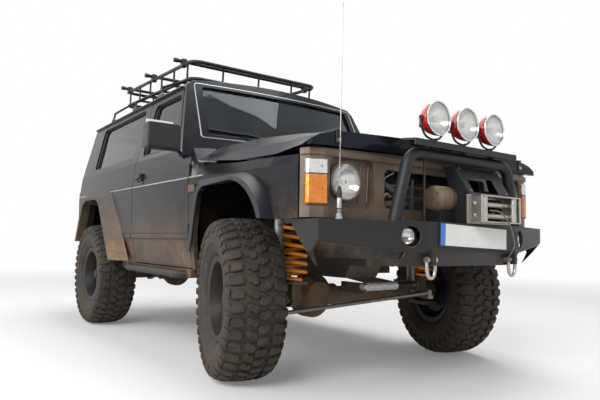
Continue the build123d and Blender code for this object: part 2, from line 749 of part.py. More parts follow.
def shackles():
    """Two bow shackles hanging from the bumper's lugs."""
    pieces = []
    for side in (-1, 1):
        y, z = side * shackle_y, shackle_z
        pin = rod((880, y - 34, z), (880, y + 34, z), 10)
        if side > 0:
            pin = pin + rod((880, y - 60, z), (880, y, z), 10) + rod((880, y - 56, z), (880, y - 42, z), 15)
        bow = tube([(880, y - 24, z), (880, y - 24, z - 84), (880, y + 24, z - 84), (880, y + 24, z)], 9, 22)
        pieces.append(pin + bow)
    return pieces


def aerial():
    """Whip aerial on a sprung foot at the bumper's right corner."""
    x, y, z = 697, -704, bumper_top
    foot = Pos(x, y, z + 12) * Cylinder(19, 24)
    stem = rod((x, y, z + 14), (x, y, z + 145), 13)
    whip = rod((x, y, z + 140), (x + 14, y + 6, whip_top), 3)
    return foot + stem + whip


def roof_rack():
    """Tubular rack with an upper rail, a slatted deck and six gutter legs."""
    x0, x1, h = -rack_front, -rack_rear, rack_half
    pieces = []
    for z in (rack_rail_z, rack_deck_z):
        corners = [(x0, -h, z), (x1, -h, z), (x1, h, z), (x0, h, z)]
        pieces.append(tube(corners, rack_tube, 80, True))
    count = 6
    for i in range(count):
        x = x0 - 90 + (x1 - x0 + 180) * i / (count - 1)
        pieces.append(block(x - 15, x + 15, -h, h, rack_deck_z - 8, rack_deck_z + 8))
        pieces += both(rod((x, -h, rack_deck_z), (x, -h, rack_rail_z), 8))
    for y in (-320, 0, 320):
        for x in (x0, x1):
            pieces.append(rod((x, y, rack_deck_z), (x, y, rack_rail_z), 8))
    flat = joined(pieces)
    tilted = Pos(x0, 0, rack_deck_z) * Rot(0, rack_rise, 0) * Pos(-x0, 0, -rack_deck_z) * flat
    legs = []
    for x in (-1330, -1900, -2460):
        foot_z = gutter_z + 6
        top_z = rack_deck_z + (-x + x0) * math.tan(math.radians(rack_rise))
        knee = (x, -gutter_half + 2, foot_z + 75)
        leg = rod((x, -gutter_half - 11, foot_z + 2), knee, 9) + rod(knee, (x, -h, top_z), 9)
        pad = block(x - 35, x + 35, -gutter_half - 18, -gutter_half - 2, foot_z, foot_z + 14)
        legs += both(leg + Pos(*knee) * Sphere(10) + pad)
    return joined([tilted] + legs)


def rear_bumper():
    """Rear bumper bar on the frame's ends with two towing eyes."""
    bar = block(-3120, -frame_rear - 45, -800, 800, 610, 710)
    arms = [block(-frame_rear - 50, -frame_rear, side * 395 - 30, side * 395 + 30, 655, 705)
            for side in (-1, 1)]
    eyes = [Pos(-3120 - 20, side * 640, 660) * Torus(30, 9) for side in (-1, 1)]
    return joined([bar] + arms + eyes)


def side_steps():
    """Tubular step under each door on two brackets from the sill."""
    out, root = -sill_half - 36, -sill_half + 46
    step = tube([(-step_front, root, step_z), (-step_front - 40, out, step_z),
                 (-step_rear + 40, out, step_z), (-step_rear, root, step_z)], step_tube, 40)
    pieces = [step]
    for x in (-step_front - 160, -step_rear + 250):
        pieces.append(block(x - 20, x + 20, out, -sill_half + 30, step_z - 30, sill_foot - 0.1))
    wall = block(-step_rear - 100, -step_front + 100, -sill_half, root + 90, sill_foot, door_low)
    return both(joined(pieces) - wall)


def seats():
    """Two front seats and a rear bench, cushion and backrest of each as one."""
    pieces = []
    for y in (-370, 370):
        cushion = block(-1500, -1010, y - 250, y + 250, 830, 990)
        back = prism_xz([(-1460, 980), (-1380, 980), (-1560, 1500), (-1660, 1500)], y - 240, y + 240)
        head = prism_xz([(-1580, 1490), (-1660, 1490), (-1700, 1650), (-1610, 1650)], y - 110, y + 110)
        base = block(-1460, -1060, y - 180, y + 180, floor_z + tub_wall, 840)
        pieces.append(joined([cushion, back, head, base]))
    bench = block(-2420, -1980, -560, 560, rear_floor_z + tub_wall, 1060)
    rest = prism_xz([(-2420, 1040), (-2330, 1040), (-2480, 1480), (-2570, 1480)], -560, 560)
    pieces.append(bench + rest)
    return pieces


def dashboard():
    """Dashboard across the cab with the steering wheel on its column."""
    top = prism_xz([(-556, 1200), (-556, 960), (-760, 960), (-860, 1060), (-850, 1200)], -735, 735)
    rim = Torus(190, 14)
    spokes = block(-15, 15, -180, 180, -6, 6) + Cylinder(38, 30)
    column = Pos(0, 0, -95) * Cylinder(24, 190)
    wheel = rim + spokes + column
    tilt = 62
    return top + (Pos(-985, 380, 1120) * Rot(0, tilt - 90, 0) * wheel)


def door():
    """Right door as thick as the body's wall, with its window cut and the mirror on its corner."""
    shoulder = belt_z - 45
    points = [(-door_front, door_low), (-door_front, shoulder), (screen_rear(shoulder) - gap, shoulder),
              (screen_rear(door_high) - gap, door_high), (-door_rear, door_high), (-door_rear, door_low)]
    body = side_slab(-door_rear, -door_front, wall) & prism_xz(points, -1000, -500)
    body = body - door_window()
    head = block(-665, -575, -mirror_out, -905, mirror_low, mirror_high)
    head = fillet(head.edges(), 14)
    arm = rod((-620, -850, shoulder - 25), (-620, -930, mirror_low + 25), 13)
    return body + head + arm


def door_window():
    """Cutter of the side window in the right door."""
    low, high = 1340, 1728
    frame = gap + 32
    points = [(screen_rear(low) - frame, low), (screen_rear(high) - frame, high), (-1400, high),
              (-1400, low)]
    return prism_xz(points, -1000, -500, {0: 20, 1: 40, 2: 40, 3: 40})


def door_glass():
    """Side window pane."""
    pane = side_slab(-door_rear, -door_front, 25 + glass) - side_slab(-door_rear - 1, -door_front + 1, 25)
    return pane & door_window()


# Bonnet sections: station X, heights at the middle, at the shoulders, on the slope and at the rim.
BONNET = ((bonnet_start, 1345, 1302, 1243, 1204), (50, 1338, 1290, 1222, 1152),
          (400, 1302, 1260, 1206, 1143), (610, 1268, 1236, 1202, 1162), (682, 1250, 1230, 1208, 1180))


def bonnet_section(x, crown, shoulder, slope, rim):
    """Closed section of the bonnet's skin at a station."""
    drop = bonnet_skin
    right = [(bonnet_shoulder, shoulder), (bonnet_slope, slope), (bonnet_rim, rim)]
    inner = [(bonnet_rim - drop * 0.4, rim - 1), (bonnet_slope - drop * 0.4, slope - drop),
             (bonnet_shoulder, shoulder - drop)]
    top = ThreePointArc((-bonnet_shoulder, shoulder), (0, crown), (bonnet_shoulder, shoulder))
    low = ThreePointArc((bonnet_shoulder, shoulder - drop), (0, crown - drop),
                        (-bonnet_shoulder, shoulder - drop))
    sides = [Polyline(*right, *inner), Polyline(*[(-y, z) for y, z in reversed(right + inner)])]
    edges = top.edges() + low.edges() + sides[0].edges() + sides[1].edges()
    return Plane.YZ.offset(x) * make_face(edges)


def above_bonnet(x, crown, shoulder, slope, rim):
    """Face at a station from just inside the bonnet's outer surface up to well over it."""
    right = [(bonnet_shoulder, shoulder - lip_sink), (bonnet_slope, slope - lip_sink),
             (bonnet_rim + 1, rim - lip_sink), (bonnet_rim + 1, crown + 100)]
    top = ThreePointArc((-bonnet_shoulder, shoulder - lip_sink), (0, crown - lip_sink),
                        (bonnet_shoulder, shoulder - lip_sink))
    rest = Polyline(*right, *[(-y, z) for y, z in reversed(right)])
    return Plane.YZ.offset(x) * make_face(top.edges() + rest.edges())


def bonnet():
    """Clamshell bonnet through five sections, with its front edge turned down and a narrower rear."""
    skin = loft([bonnet_section(*row) for row in BONNET], ruled=True)
    crown, shoulder = BONNET[0][1:3]
    rear = []
    for x in (-bonnet_rear, bonnet_start):
        top = ThreePointArc((-bonnet_shoulder, shoulder), (0, crown), (bonnet_shoulder, shoulder))
        low = Polyline((bonnet_shoulder, shoulder), (bonnet_shoulder, shoulder - 20),
                       (-bonnet_shoulder, shoulder - 20), (-bonnet_shoulder, shoulder))
        rear.append(Plane.YZ.offset(x) * make_face(top.edges() + low.edges()))
    rear = loft(rear, ruled=True)
    front_x, crown = BONNET[-1][:2]
    lip = prism_yz(crest(6) + [(bonnet_rim + 10, crown), (-bonnet_rim - 10, crown)], lip_back, front_x)
    lip = lip & block(lip_back, front_x, -bonnet_rim, bonnet_rim, panel_high, crown)
    above = loft([above_bonnet(*row) for row in BONNET[-2:]], ruled=True)
    return joined([skin, rear, lip - above])


rear_door_low = 730
rear_split = 200


def rear_opening(z_low, z_high, inset):
    """Outline of the rear opening inside the body's section."""
    rows = [(half_width(z, inset), z) for z in (z_low, crease_z, belt_z, z_high)]
    return [(-y, z) for y, z in rows] + [(y, z) for y, z in reversed(rows)]


def rear_door(right):
    """One of the two rear doors with its window cut: the wide right one carries the spare."""
    outline = rear_opening(rear_door_low, door_high - 4, wall + gap)
    whole = prism_yz(outline, -body_rear, -body_rear + wall)
    if right:
        leaf = whole & block(-body_rear, -body_rear + wall, -1000, rear_split - gap / 2, 0, 2000)
        boss = rod((-body_rear - spare_gap - tyre_width / 2 + 34, spare_y, spare_z),
                   (-body_rear, spare_y, spare_z), 75)
        leaf = leaf - rear_window(True) + boss
    else:
        leaf = whole & block(-body_rear, -body_rear + wall, rear_split + gap / 2, 1000, 0, 2000)
        leaf = leaf - rear_window(False)
    return leaf


def rear_window(right):
    """Cutter of a rear door's window."""
    low, high = 1370, 1700
    if right:
        points = [(-730, low), (-665, high), (130, high), (130, low)]
    else:
        points = [(270, low), (270, high), (665, high), (730, low)]
    return prism_yz(points, -body_rear - 100, -body_rear + 200, {0: 40, 1: 40, 2: 40, 3: 40})


def rear_glass(right):
    """Pane of a rear door."""
    return block(-body_rear + 20, -body_rear + 20 + glass, -1000, 1000, 1300, 1800) & rear_window(right)


def rim():
    """Half section of the rim and its dished disc, on its own axis with the outer face up."""
    w = rim_width / 2
    inner = rim_radius - 18
    return [(60, 0), (120, 4), (160, -30), (inner, -30), (inner, -w + 30), (rim_radius - 8, -w),
            (rim_flange, -w - 4), (rim_flange, -w + 4), (rim_radius, -w + 16), (rim_radius, w - 16),
            (rim_flange, w - 4), (rim_flange, w + 4), (rim_radius - 8, w), (inner, w - 30), (inner, -8),
            (170, -8), (120, 24), (60, 20)]


def faceted(rows, count):
    """Solid of flat facets about the Z axis through closed rows of (radius, height)."""
    def corner(radius, height, step):
        angle = 2 * math.pi * step / count
        return Vector(radius * math.cos(angle), radius * math.sin(angle), height)

    faces = []
    for first, second in zip(rows, rows[1:] + rows[:1]):
        for step in range(count):
            corners = [corner(*first, step), corner(*first, step + 1), corner(*second, step + 1),
                       corner(*second, step)]
            faces.append(Face(Wire.make_polygon(corners, close=True)))
    return Solid(Shell(faces))


def tyre():
    """Tyre about the Z axis: a case of flat facets with a row of shoulder lugs on each side."""
    w = tyre_width / 2
    bead = rim_width / 2 - 17
    crown = tyre_radius - 15
    tread = math.sqrt(tyre_radius ** 2 - lug_half ** 2)
    bore = (rim_radius + joint_clearance) / math.cos(math.pi / tyre_facets)
    half = [(bore, bead), (rim_flange + 3, bead + 10), (330, w - 8), (crown, w - 38)]
    case = faceted(half + [(radius, -place) for radius, place in reversed(half)], tyre_facets)
    outline = [(crown - 12, 52), (tread, 52), (tread - 12, w), (tread - 62, w)]
    lugs = []
    for step in range(lugs_round):
        for side in (1, -1):
            points = [(radius, side * place) for radius, place in outline]
            lug = extrude(Plane.XZ * make_face(Polyline(*points, close=True)), amount=lug_half, both=True)
            lugs.append(Rot(0, 0, 360 * (step + 0.25 * side) / lugs_round) * lug)
    return case.fuse(*[solid for lug in lugs for solid in lug.solids()])


def wheel_at(centre, axis):
    """Rim with its hub closed by a centre cap, placed on an axle."""
    ring = turned(rim(), centre, axis)
    hub = turned([(0, -6), (62, -6), (62, 21), (52, 60), (0, 64)], centre, axis)
    return ring + hub


def knuckle(side):
    """Steering knuckle: fork round the axle's ball, stub for the wheel and the steering arms."""
    y, z = side * king_pin_y, tyre_radius
    fork = block(-35, 35, min(side * 620, side * 762), max(side * 620, side * 762), z - 105, z + 105)
    fork = fork - block(-60, 60, min(side * 560, side * 737), max(side * 560, side * 737), z - 80, z + 80)
    flange = rod((0, side * 740, z), (0, side * (wheel_plane - 8), z), 80)
    arm_low = z - 105
    rear = block(-steer_arm_rear - 18, 0, y - 18, y + 18, arm_low, arm_low + arm_thickness)
    stud_top = arm_low + arm_thickness + 34
    rear_stud = rod((-steer_arm_rear, y, arm_low), (-steer_arm_rear, y, stud_top), stud_radius)
    body = joined([fork, flange, rear, rear_stud])
    if side < 0:
        front = block(0, steer_arm_front + 18, y - 18, y + 18, arm_low, arm_low + arm_thickness)
        stud = rod((steer_arm_front, y, arm_low), (steer_arm_front, y, stud_top), stud_radius)
        body = joined([body, front, stud])
    return body


def linkage(start, end, radius):
    """Steering rod between two upright eyes that sit over studs: start and end are stud feet."""
    lift = arm_thickness + joint_clearance + 15
    ends = [(x, y, z + lift) for x, y, z in (start, end)]
    whole = rod(ends[0], ends[1], radius)
    for place in ends:
        whole = whole + Pos(*place) * Cylinder(18, 30)
    for place in ends:
        whole = whole - Pos(*place) * Cylinder(stud_radius + eye_clearance, 40)
    return whole


def turned_right(piece, pivot_y, pivot_x=0):
    """A piece swung with the front wheels, which stand turned to the right at rest."""
    pivot = Pos(pivot_x, pivot_y, 0)
    return pivot * Rot(0, 0, -rest_turn) * pivot.inverse() * piece


def steered(point, pivot_y, pivot_x=0):
    """A point swung in the same way."""
    angle = math.radians(-rest_turn)
    x, y, z = point[0] - pivot_x, point[1] - pivot_y, point[2]
    return (pivot_x + x * math.cos(angle) - y * math.sin(angle),
            pivot_y + x * math.sin(angle) + y * math.cos(angle), z)


def pitman_arm():
    """Drop arm below the steering box on the left rail."""
    end = pitman_x + steer_arm_front
    arm = block(pitman_x - 22, end + 18, pitman_y - 18, pitman_y + 18, pitman_z, pitman_z + arm_thickness)
    stud = rod((end, pitman_y, pitman_z), (end, pitman_y, pitman_z + arm_thickness + 34), stud_radius)
    shaft = rod((pitman_x, pitman_y, pitman_z), (pitman_x, pitman_y, 630), 20)
    return turned_right(joined([arm, stud, shaft]), pitman_y, pitman_x)


os.makedirs("parts", exist_ok=True)

fixed = {
    "chassis_frame": chassis_frame,
    "front_axle": front_axle,
    "rear_axle": rear_axle,
    "suspension_arms": suspension_arms,
    "coil_springs": coil_springs,
    "dampers": dampers,
    "powertrain": powertrain,
    "fuel_tank": fuel_tank,
    "exhaust": exhaust,
    "cab_tub": cab_tub,
    "roof": roof,
    "windscreen_frame": windscreen_frame,
    "fixed_glass": fixed_glass,
    "front_panel": front_panel,
    "radiator": radiator,
    "road_lamps": road_lamps,
    "front_bumper": front_bumper,
    "driving_lamps": driving_lamps,
    "winch": winch,
    "winch_rope": winch_rope,
    "shackles": shackles,
    "aerial": aerial,
    "roof_rack": roof_rack,
    "rear_bumper": rear_bumper,
    "side_steps": side_steps,
    "seats": seats,
    "dashboard": dashboard,
    "bonnet": bonnet,
    "pitman_arm": pitman_arm,
}
for name, maker in fixed.items():
    print(name)
    save(name, maker())

save("side_panels", both(side_panel()))
save("front_wings", both(front_wing()))
save("wheel_arch_flares", [half for flare in wheel_arch_flares() for half in both(flare)])

for label, flip in (("right", False), ("left", True)):
    for name, maker in (("door_", door), ("door_glass_", door_glass)):
        shape = maker()
        save(name + label, mirror(shape, about=Plane.XZ) if flip else shape)
    save("rear_door_" + label, rear_door(not flip))
    save("rear_glass_" + label, rear_glass(not flip))
    save("knuckle_" + label, turned_right(knuckle(1 if flip else -1), king_pin_y if flip else -king_pin_y))

arm_z = tyre_radius - 105
save("track_rod", linkage(steered((-steer_arm_rear, -king_pin_y, arm_z), -king_pin_y),
                          steered((-steer_arm_rear, king_pin_y, arm_z), king_pin_y), link_radius))
save("drag_link", linkage(steered((steer_arm_front, -king_pin_y, arm_z), -king_pin_y),
                          steered((pitman_x + steer_arm_front, pitman_y, pitman_z), pitman_y, pitman_x),
                          drag_radius))

tyre_shape = tyre()
for label, x, side in (("front_right", 0, -1), ("front_left", 0, 1), ("rear_right", -wheelbase, -1),
                       ("rear_left", -wheelbase, 1)):
    centre, axis = (x, side * wheel_plane, tyre_radius), (0, side, 0)
    pieces = {"wheel_": wheel_at(centre, axis), "tyre_": Plane(centre, z_dir=axis) * tyre_shape}
    for name, piece in pieces.items():
        save(name + label, turned_right(piece, side * king_pin_y) if x == 0 else piece)
spare_centre = (-body_rear - spare_gap - tyre_width / 2, spare_y, spare_z)
save("spare_wheel", wheel_at(spare_centre, (-1, 0, 0)))
save("spare_tyre", Plane(spare_centre, z_dir=(-1, 0, 0)) * tyre_shape)
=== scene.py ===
# %% [markdown]
# # A lifted off-road 4x4, dressed
#
# The steel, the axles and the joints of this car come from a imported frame. This lesson gives them
# their looks: paint under road dust, knobbly tyres, coil springs, lamps with real bowls behind
# real glass, a winch with its rope. Every piece is written in metres, in the frame's own axes:
# X runs forwards, Y to the car's left, Z up, and the ground is at zero.

# %% Load the frame and measure it
import json
import math

import bmesh
import bpy
from mathutils import Matrix, Vector

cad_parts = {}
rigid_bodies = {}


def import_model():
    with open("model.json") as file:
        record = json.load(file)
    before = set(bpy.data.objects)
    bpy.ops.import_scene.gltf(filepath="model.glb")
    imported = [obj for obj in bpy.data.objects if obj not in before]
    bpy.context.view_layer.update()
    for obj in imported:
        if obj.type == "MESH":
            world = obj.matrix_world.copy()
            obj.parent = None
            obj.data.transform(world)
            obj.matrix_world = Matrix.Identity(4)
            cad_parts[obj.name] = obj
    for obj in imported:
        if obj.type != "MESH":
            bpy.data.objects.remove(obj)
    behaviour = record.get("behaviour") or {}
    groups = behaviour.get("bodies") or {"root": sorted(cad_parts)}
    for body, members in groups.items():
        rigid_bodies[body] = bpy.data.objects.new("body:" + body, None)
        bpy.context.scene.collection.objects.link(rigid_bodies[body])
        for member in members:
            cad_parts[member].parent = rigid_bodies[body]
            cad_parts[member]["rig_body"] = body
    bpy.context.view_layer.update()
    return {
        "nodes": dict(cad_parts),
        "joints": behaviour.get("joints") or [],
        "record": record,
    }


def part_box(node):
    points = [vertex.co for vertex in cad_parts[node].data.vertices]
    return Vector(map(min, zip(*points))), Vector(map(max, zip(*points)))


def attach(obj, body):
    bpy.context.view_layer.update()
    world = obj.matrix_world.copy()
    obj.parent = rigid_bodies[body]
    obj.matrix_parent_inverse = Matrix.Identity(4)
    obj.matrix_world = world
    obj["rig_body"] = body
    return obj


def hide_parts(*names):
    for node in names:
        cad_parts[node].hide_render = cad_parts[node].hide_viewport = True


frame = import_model()
scene = bpy.context.scene
print("pieces in the frame:", len(frame["nodes"]))

# %% [markdown]
# Distances on a car are read from its front axle, so a small function turns such a place into
# the frame's. The two axles are found from the tyres themselves, which keeps this file true
# when the wheelbase changes.

# %% Places on the car


def middle(node):
    """Middle of a node's box."""
    low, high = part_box(node)
    return (low + high) / 2


AXLE_X = (middle("tyre_front_right").x + middle("tyre_front_left").x) / 2
WHEELBASE = AXLE_X - middle("tyre_rear_right").x
TYRE_RADIUS = middle("tyre_rear_right").z
FORWARD, LEFT, UP = (1, 0, 0), (0, 1, 0), (0, 0, 1)
SIDES = ((-1, "right"), (1, "left"))


def axle_axis(body):
    """The way a wheel's axle points in the frame, from its joint."""
    joint = next(joint for joint in frame["joints"] if joint["child"] == body)
    return Vector(joint["axis"]).normalized()


def spot(x, y, z):
    """A place in the frame, from its distance ahead of the front axle."""
    return Vector((AXLE_X + x, y, z))


print(f"front axle at {AXLE_X:.3f}, wheelbase {WHEELBASE:.3f}, tyre radius {TYRE_RADIUS:.3f}")

# %% [markdown]
# Node trees are easier to read as sums than as wiring. A Wire is one output socket, and its
# operators add the Math node that does the sum, also when a plain number comes first, as in
# 1 - mask. Everything else comes from one method that takes a node's type, its settings and
# what goes into its sockets.

# %% Sums that write nodes


class Wire:
    """One output socket of a tree, which Python's operators can calculate with."""

    def __init__(self, owner, socket):
        self.owner = owner
        self.socket = socket

    def other(self, name):
        """Another output of the same node."""
        return Wire(self.owner, self.socket.node.outputs[name])

    def math(self, operation, *values):
        return self.owner.node("ShaderNodeMath", {"operation": operation}, values)

    def __add__(self, value):
        return self.math("ADD", self, value)

    def __radd__(self, value):
        return self.math("ADD", value, self)

    def __sub__(self, value):
        return self.math("SUBTRACT", self, value)

    def __rsub__(self, value):
        return self.math("SUBTRACT", value, self)

    def __mul__(self, value):
        return self.math("MULTIPLY", self, value)

    def __rmul__(self, value):
        return self.math("MULTIPLY", value, self)

    def __truediv__(self, value):
        return self.math("DIVIDE", self, value)

    def most(self, value):
        return self.math("MAXIMUM", self, value)

    def least(self, value):
        return self.math("MINIMUM", self, value)

    def wave(self):
        return self.math("SINE", self)

    def fade(self, low, high):
        """Smooth step from 0 at low to 1 at high."""
        settings = {"interpolation_type": "SMOOTHSTEP"}
        return self.owner.node("ShaderNodeMapRange", settings, {0: self, 1: low, 2: high})


class Tree:
    """A node tree in which every node comes from one method."""

    def __init__(self, tree):
        self.tree = tree

    def node(self, kind, settings=None, inputs=None, output=0):
        made = self.tree.nodes.new(kind)
        for name, value in (settings or {}).items():
            setattr(made, name, value)
        named = inputs.items() if isinstance(inputs, dict) else enumerate(inputs or ())
        for key, value in named:
            if isinstance(value, Wire):
                self.tree.links.new(value.socket, made.inputs[key])
            else:
                made.inputs[key].default_value = value
        return Wire(self, made.outputs[output]) if made.outputs else made


print("operators ready")

# %% [markdown]
# A finish is a material whose patterns are measured on the object itself. Its helpers speak of
# real things: noise has a size in metres, dust has the height up to which it lies, and worn
# edges are found by asking where a rounded corner would turn the surface.

# %% A finish and its helpers


class Finish(Tree):
    """One material, written from the object's own coordinates."""

    def __init__(self, name):
        self.material = bpy.data.materials.new(name)
        self.material.use_nodes = True
        super().__init__(self.material.node_tree)
        self.tree.nodes.clear()
        self.place = self.node("ShaderNodeTexCoord", output="Object")
        self.across = self.node("ShaderNodeSeparateXYZ", inputs=[self.place], output="Y")
        self.height = self.across.other("Z")

    def stretched(self, x, y, z):
        return self.node("ShaderNodeMapping", inputs={"Vector": self.place, "Scale": (x, y, z)})

    def noise(self, size, detail=4.0, grain=0.5, where=None):
        """Blobs about size metres across, from 0 to 1."""
        return self.node("ShaderNodeTexNoise", inputs={
            "Vector": where or self.place, "Scale": 1 / size, "Detail": detail,
            "Roughness": grain})

    def mix(self, mask, first, second):
        """First colour where the mask is 0, second where it is 1."""
        inputs = {0: mask, 6: first, 7: second}
        return self.node("ShaderNodeMix", {"data_type": "RGBA"}, inputs, output=2)

    def shade(self, mask, first, second):
        """First number where the mask is 0, second where it is 1."""
        return first + (second - first) * mask

    def upward(self):
        """1 on a face that looks straight up, -1 on one that looks down."""
        normal = self.node("ShaderNodeNewGeometry", output="Normal")
        return self.node("ShaderNodeSeparateXYZ", inputs=[normal], output="Z")

    def edges(self, radius):
        """1 along sharp edges, fading to 0 at about radius metres from them."""
        soft = self.node("ShaderNodeBevel", {"samples": 3}, {"Radius": radius})
        flat = self.node("ShaderNodeNewGeometry", output="Normal")
        same = self.node("ShaderNodeVectorMath", {"operation": "DOT_PRODUCT"}, [soft, flat],
                         output="Value")
        return (1 - same).fade(0.0, 0.12)

    def dust(self, top, depth, amount=1.0):
        """Road dust: thick low down, gone at top, broken into patches and fine splashes."""
        low = self.height.fade(top, top - depth)
        patches = self.noise(0.22, 6.0, 0.62).fade(0.30, 0.72)
        splash = self.noise(0.018, 3.0, 0.7).fade(0.42, 0.66)
        lying = self.upward().fade(0.35, 0.95) * self.noise(0.09, 5.0, 0.6).fade(0.3, 0.7)
        layers = low * patches * (0.45 + 0.55 * splash) + low * low * 0.35 + lying * 0.22
        return (layers * amount).least(1.0)

    def bump(self, height, depth, strength=1.0, under=None):
        """Surface relief: height from 0 to 1 stands depth metres proud."""
        inputs = {"Height": height, "Distance": depth, "Strength": strength}
        if under is not None:
            inputs["Normal"] = under
        return self.node("ShaderNodeBump", inputs=inputs)

    def done(self, **sockets):
        """The surface itself; a socket's name is written with low lines."""
        inputs = {name.replace("_", " "): value for name, value in sockets.items()}
        surface = self.node("ShaderNodeBsdfPrincipled", inputs=inputs)
        self.node("ShaderNodeOutputMaterial", inputs={"Surface": surface})
        return self.material


def colour(red, green, blue):
    """A colour with its alpha of one."""
    return (red, green, blue, 1.0)


def scaled(base, share):
    """The same colour, lighter or darker."""
    return colour(*(value * share for value in base[:3]))


DUST = colour(0.125, 0.083, 0.051)
PALE_DUST = colour(0.30, 0.195, 0.115)
MUD = colour(0.060, 0.038, 0.021)
FULL_TURN = 2 * math.pi

# %% [markdown]
# The body is gloss black, and what makes black paint readable is everything on top of it: a
# clear coat whose reflections a constant tints sky blue, a painted sky reflection, a faint
# orange-peel ripple, and dust that climbs from the sills. The dust dulls the coat where it lies,
# so one mask drives colour, roughness and coat.

# %% Body paint
# Painted sky reflection: this tint turns every reflection of the paint sky blue.
PAINTED_SKY_TINT = colour(0.70, 0.84, 1.0)


def painted(name, base, top, depth, amount, gloss):
    """Coated paint with dust up to the given height."""
    kit = Finish(name)
    dust = kit.dust(top, depth, amount)
    film = kit.noise(0.6, 5.0, 0.6).fade(0.35, 0.75) * 0.02
    tone = kit.mix(film, base, DUST)
    tone = kit.mix(dust, tone, kit.mix(kit.noise(0.05), DUST, PALE_DUST))
    peel = kit.bump(kit.noise(0.012, 2.0), 0.0003, 0.25)
    grit = kit.bump(kit.noise(0.004, 3.0) * dust, 0.0008, 0.6, peel)
    rough = kit.shade(dust, gloss + kit.noise(0.3) * 0.10, 0.85)
    # The specular tint is a painted sky reflection.
    return kit.done(Base_Color=tone, Roughness=rough, Specular_IOR_Level=0.14,
                    Specular_Tint=PAINTED_SKY_TINT, Coat_Weight=0.10 * (1 - dust), Coat_Roughness=0.05,
                    Coat_IOR=1.4, Normal=grit)


body_black = painted("body black", colour(0.006, 0.006, 0.008), 1.12, 0.58, 0.62, 0.20)
# The bonnet's base, bluer than the body's, is a painted sky reflection on its upward face.
bonnet_black_painted_sky = painted("bonnet black", colour(0.006, 0.008, 0.013), 0.9, 0.3, 0.4, 0.14)
print("paint:", body_black.name, "and", bonnet_black_painted_sky.name)

# %% [markdown]
# The nose panel is a satin brown-grey with a soft metallic lift. Steel that was powder coated,
# such as the bumper, is nearly matt, shows bare grey where stones hit its edges, and holds dust
# on its upper faces. Plastic flares have a fine grain, and the washed one is tinted the bluest
# black on the car as a painted sky reflection.

# %% Nose, powder coat and plastics


def nose_finish():
    kit = Finish("nose brown-grey")
    dust = kit.dust(1.0, 0.25, 0.7)
    cloudy = kit.noise(0.08, 5.0, 0.6).fade(0.3, 0.8)
    tone = kit.mix(cloudy, colour(0.112, 0.083, 0.060), colour(0.170, 0.126, 0.090))
    tone = kit.mix(dust * 0.6, tone, DUST)
    rough = 0.38 + 0.22 * kit.noise(0.15, 4.0) + dust * 0.2
    return kit.done(Base_Color=tone, Roughness=rough, Metallic=0.35,
                    Normal=kit.bump(kit.noise(0.006), 0.0003, 0.3))


def coated_steel(name, base, grain, worn, dusty):
    """Powder coat with chipped edges, long scuffs and dust, each from 0 to 1."""
    kit = Finish(name)
    pits = kit.noise(0.0035, 3.0, 0.6)
    dust = kit.dust(0.88, 0.40, dusty)
    chips = kit.edges(0.004) * kit.noise(0.02, 5.0, 0.7).fade(0.45, 0.62) * worn
    streaks = kit.noise(0.05, 8.0, 0.75, kit.stretched(0.25, 1.0, 2.2))
    scuffs = streaks.fade(0.66, 0.75) * worn
    tone = kit.mix(kit.noise(0.4, 4.0), base, scaled(base, 1.5))
    tone = kit.mix(dust * 0.7, tone, DUST)
    tone = kit.mix((chips + scuffs * 0.35).least(1.0), tone, colour(0.19, 0.175, 0.16))
    rough = kit.shade(dust, 0.40 + 0.14 * kit.noise(0.03), 0.8)
    return kit.done(Base_Color=tone, Roughness=rough, Specular_IOR_Level=0.3,
                    Normal=kit.bump(pits, grain, 0.5))


def flare_finish(name, base, dusty, top):
    kit = Finish(name)
    dust = kit.dust(top, 0.6, dusty)
    tone = kit.mix(dust, base, kit.mix(kit.noise(0.03), DUST, PALE_DUST))
    rough = kit.shade(dust, 0.40 + 0.1 * kit.noise(0.1), 0.88)
    grain = kit.bump(kit.noise(0.0025, 2.0), 0.0003, 0.5)
    return kit.done(Base_Color=tone, Roughness=rough, Specular_IOR_Level=0.3, Normal=grain)


nose_paint = nose_finish()
powder_black = coated_steel("powder black", colour(0.011, 0.011, 0.011), 0.0004, 0.6, 0.35)
tube_black = coated_steel("tube black", colour(0.012, 0.012, 0.013), 0.0002, 0.35, 0.15)
wheel_black = coated_steel("wheel black", colour(0.006, 0.006, 0.007), 0.0003, 0.5, 0.15)
mirror_black = coated_steel("grained black", colour(0.020, 0.018, 0.017), 0.0009, 0.0, 0.15)
# The flare's blue-black base is a painted sky reflection.
flare_black_painted_sky = flare_finish("flare blue-black", colour(0.013, 0.015, 0.020), 0.3, 0.95)
flare_dusty = flare_finish("flare under dust", colour(0.026, 0.024, 0.023), 0.95, 1.22)
print("coats:", nose_paint.name, powder_black.name, tube_black.name, wheel_black.name)
print("flares:", flare_black_painted_sky.name, flare_dusty.name)

# %% [markdown]
# Underneath, nothing is clean. One recipe covers axles, arms and the frame: dark paint or
# casting, a brown crust whose thickness follows large blotches, and rust at the edges. Bright
# worn steel, as on a fairlead, is the same idea turned round: metal first, then rust in patches.

# %% Underbody, bare steel and rubber


def crusted(name, base, crust, amount):
    """Paint or casting under mud that covers more of it the higher the amount."""
    kit = Finish(name)
    blotch = kit.noise(0.11, 7.0, 0.62).fade(0.62 - amount * 0.42, 0.80 - amount * 0.3)
    fine = kit.noise(0.012, 5.0, 0.7)
    tone = kit.mix(blotch, base, kit.mix(fine, MUD, crust))
    rust = kit.edges(0.006) * kit.noise(0.03, 5.0, 0.7).fade(0.45, 0.6)
    tone = kit.mix(rust * 0.6, tone, colour(0.16, 0.055, 0.02))
    lumps = kit.bump(fine * blotch, 0.0022, 0.7)
    return kit.done(Base_Color=tone, Roughness=kit.shade(blotch, 0.5, 0.93), Normal=lumps)


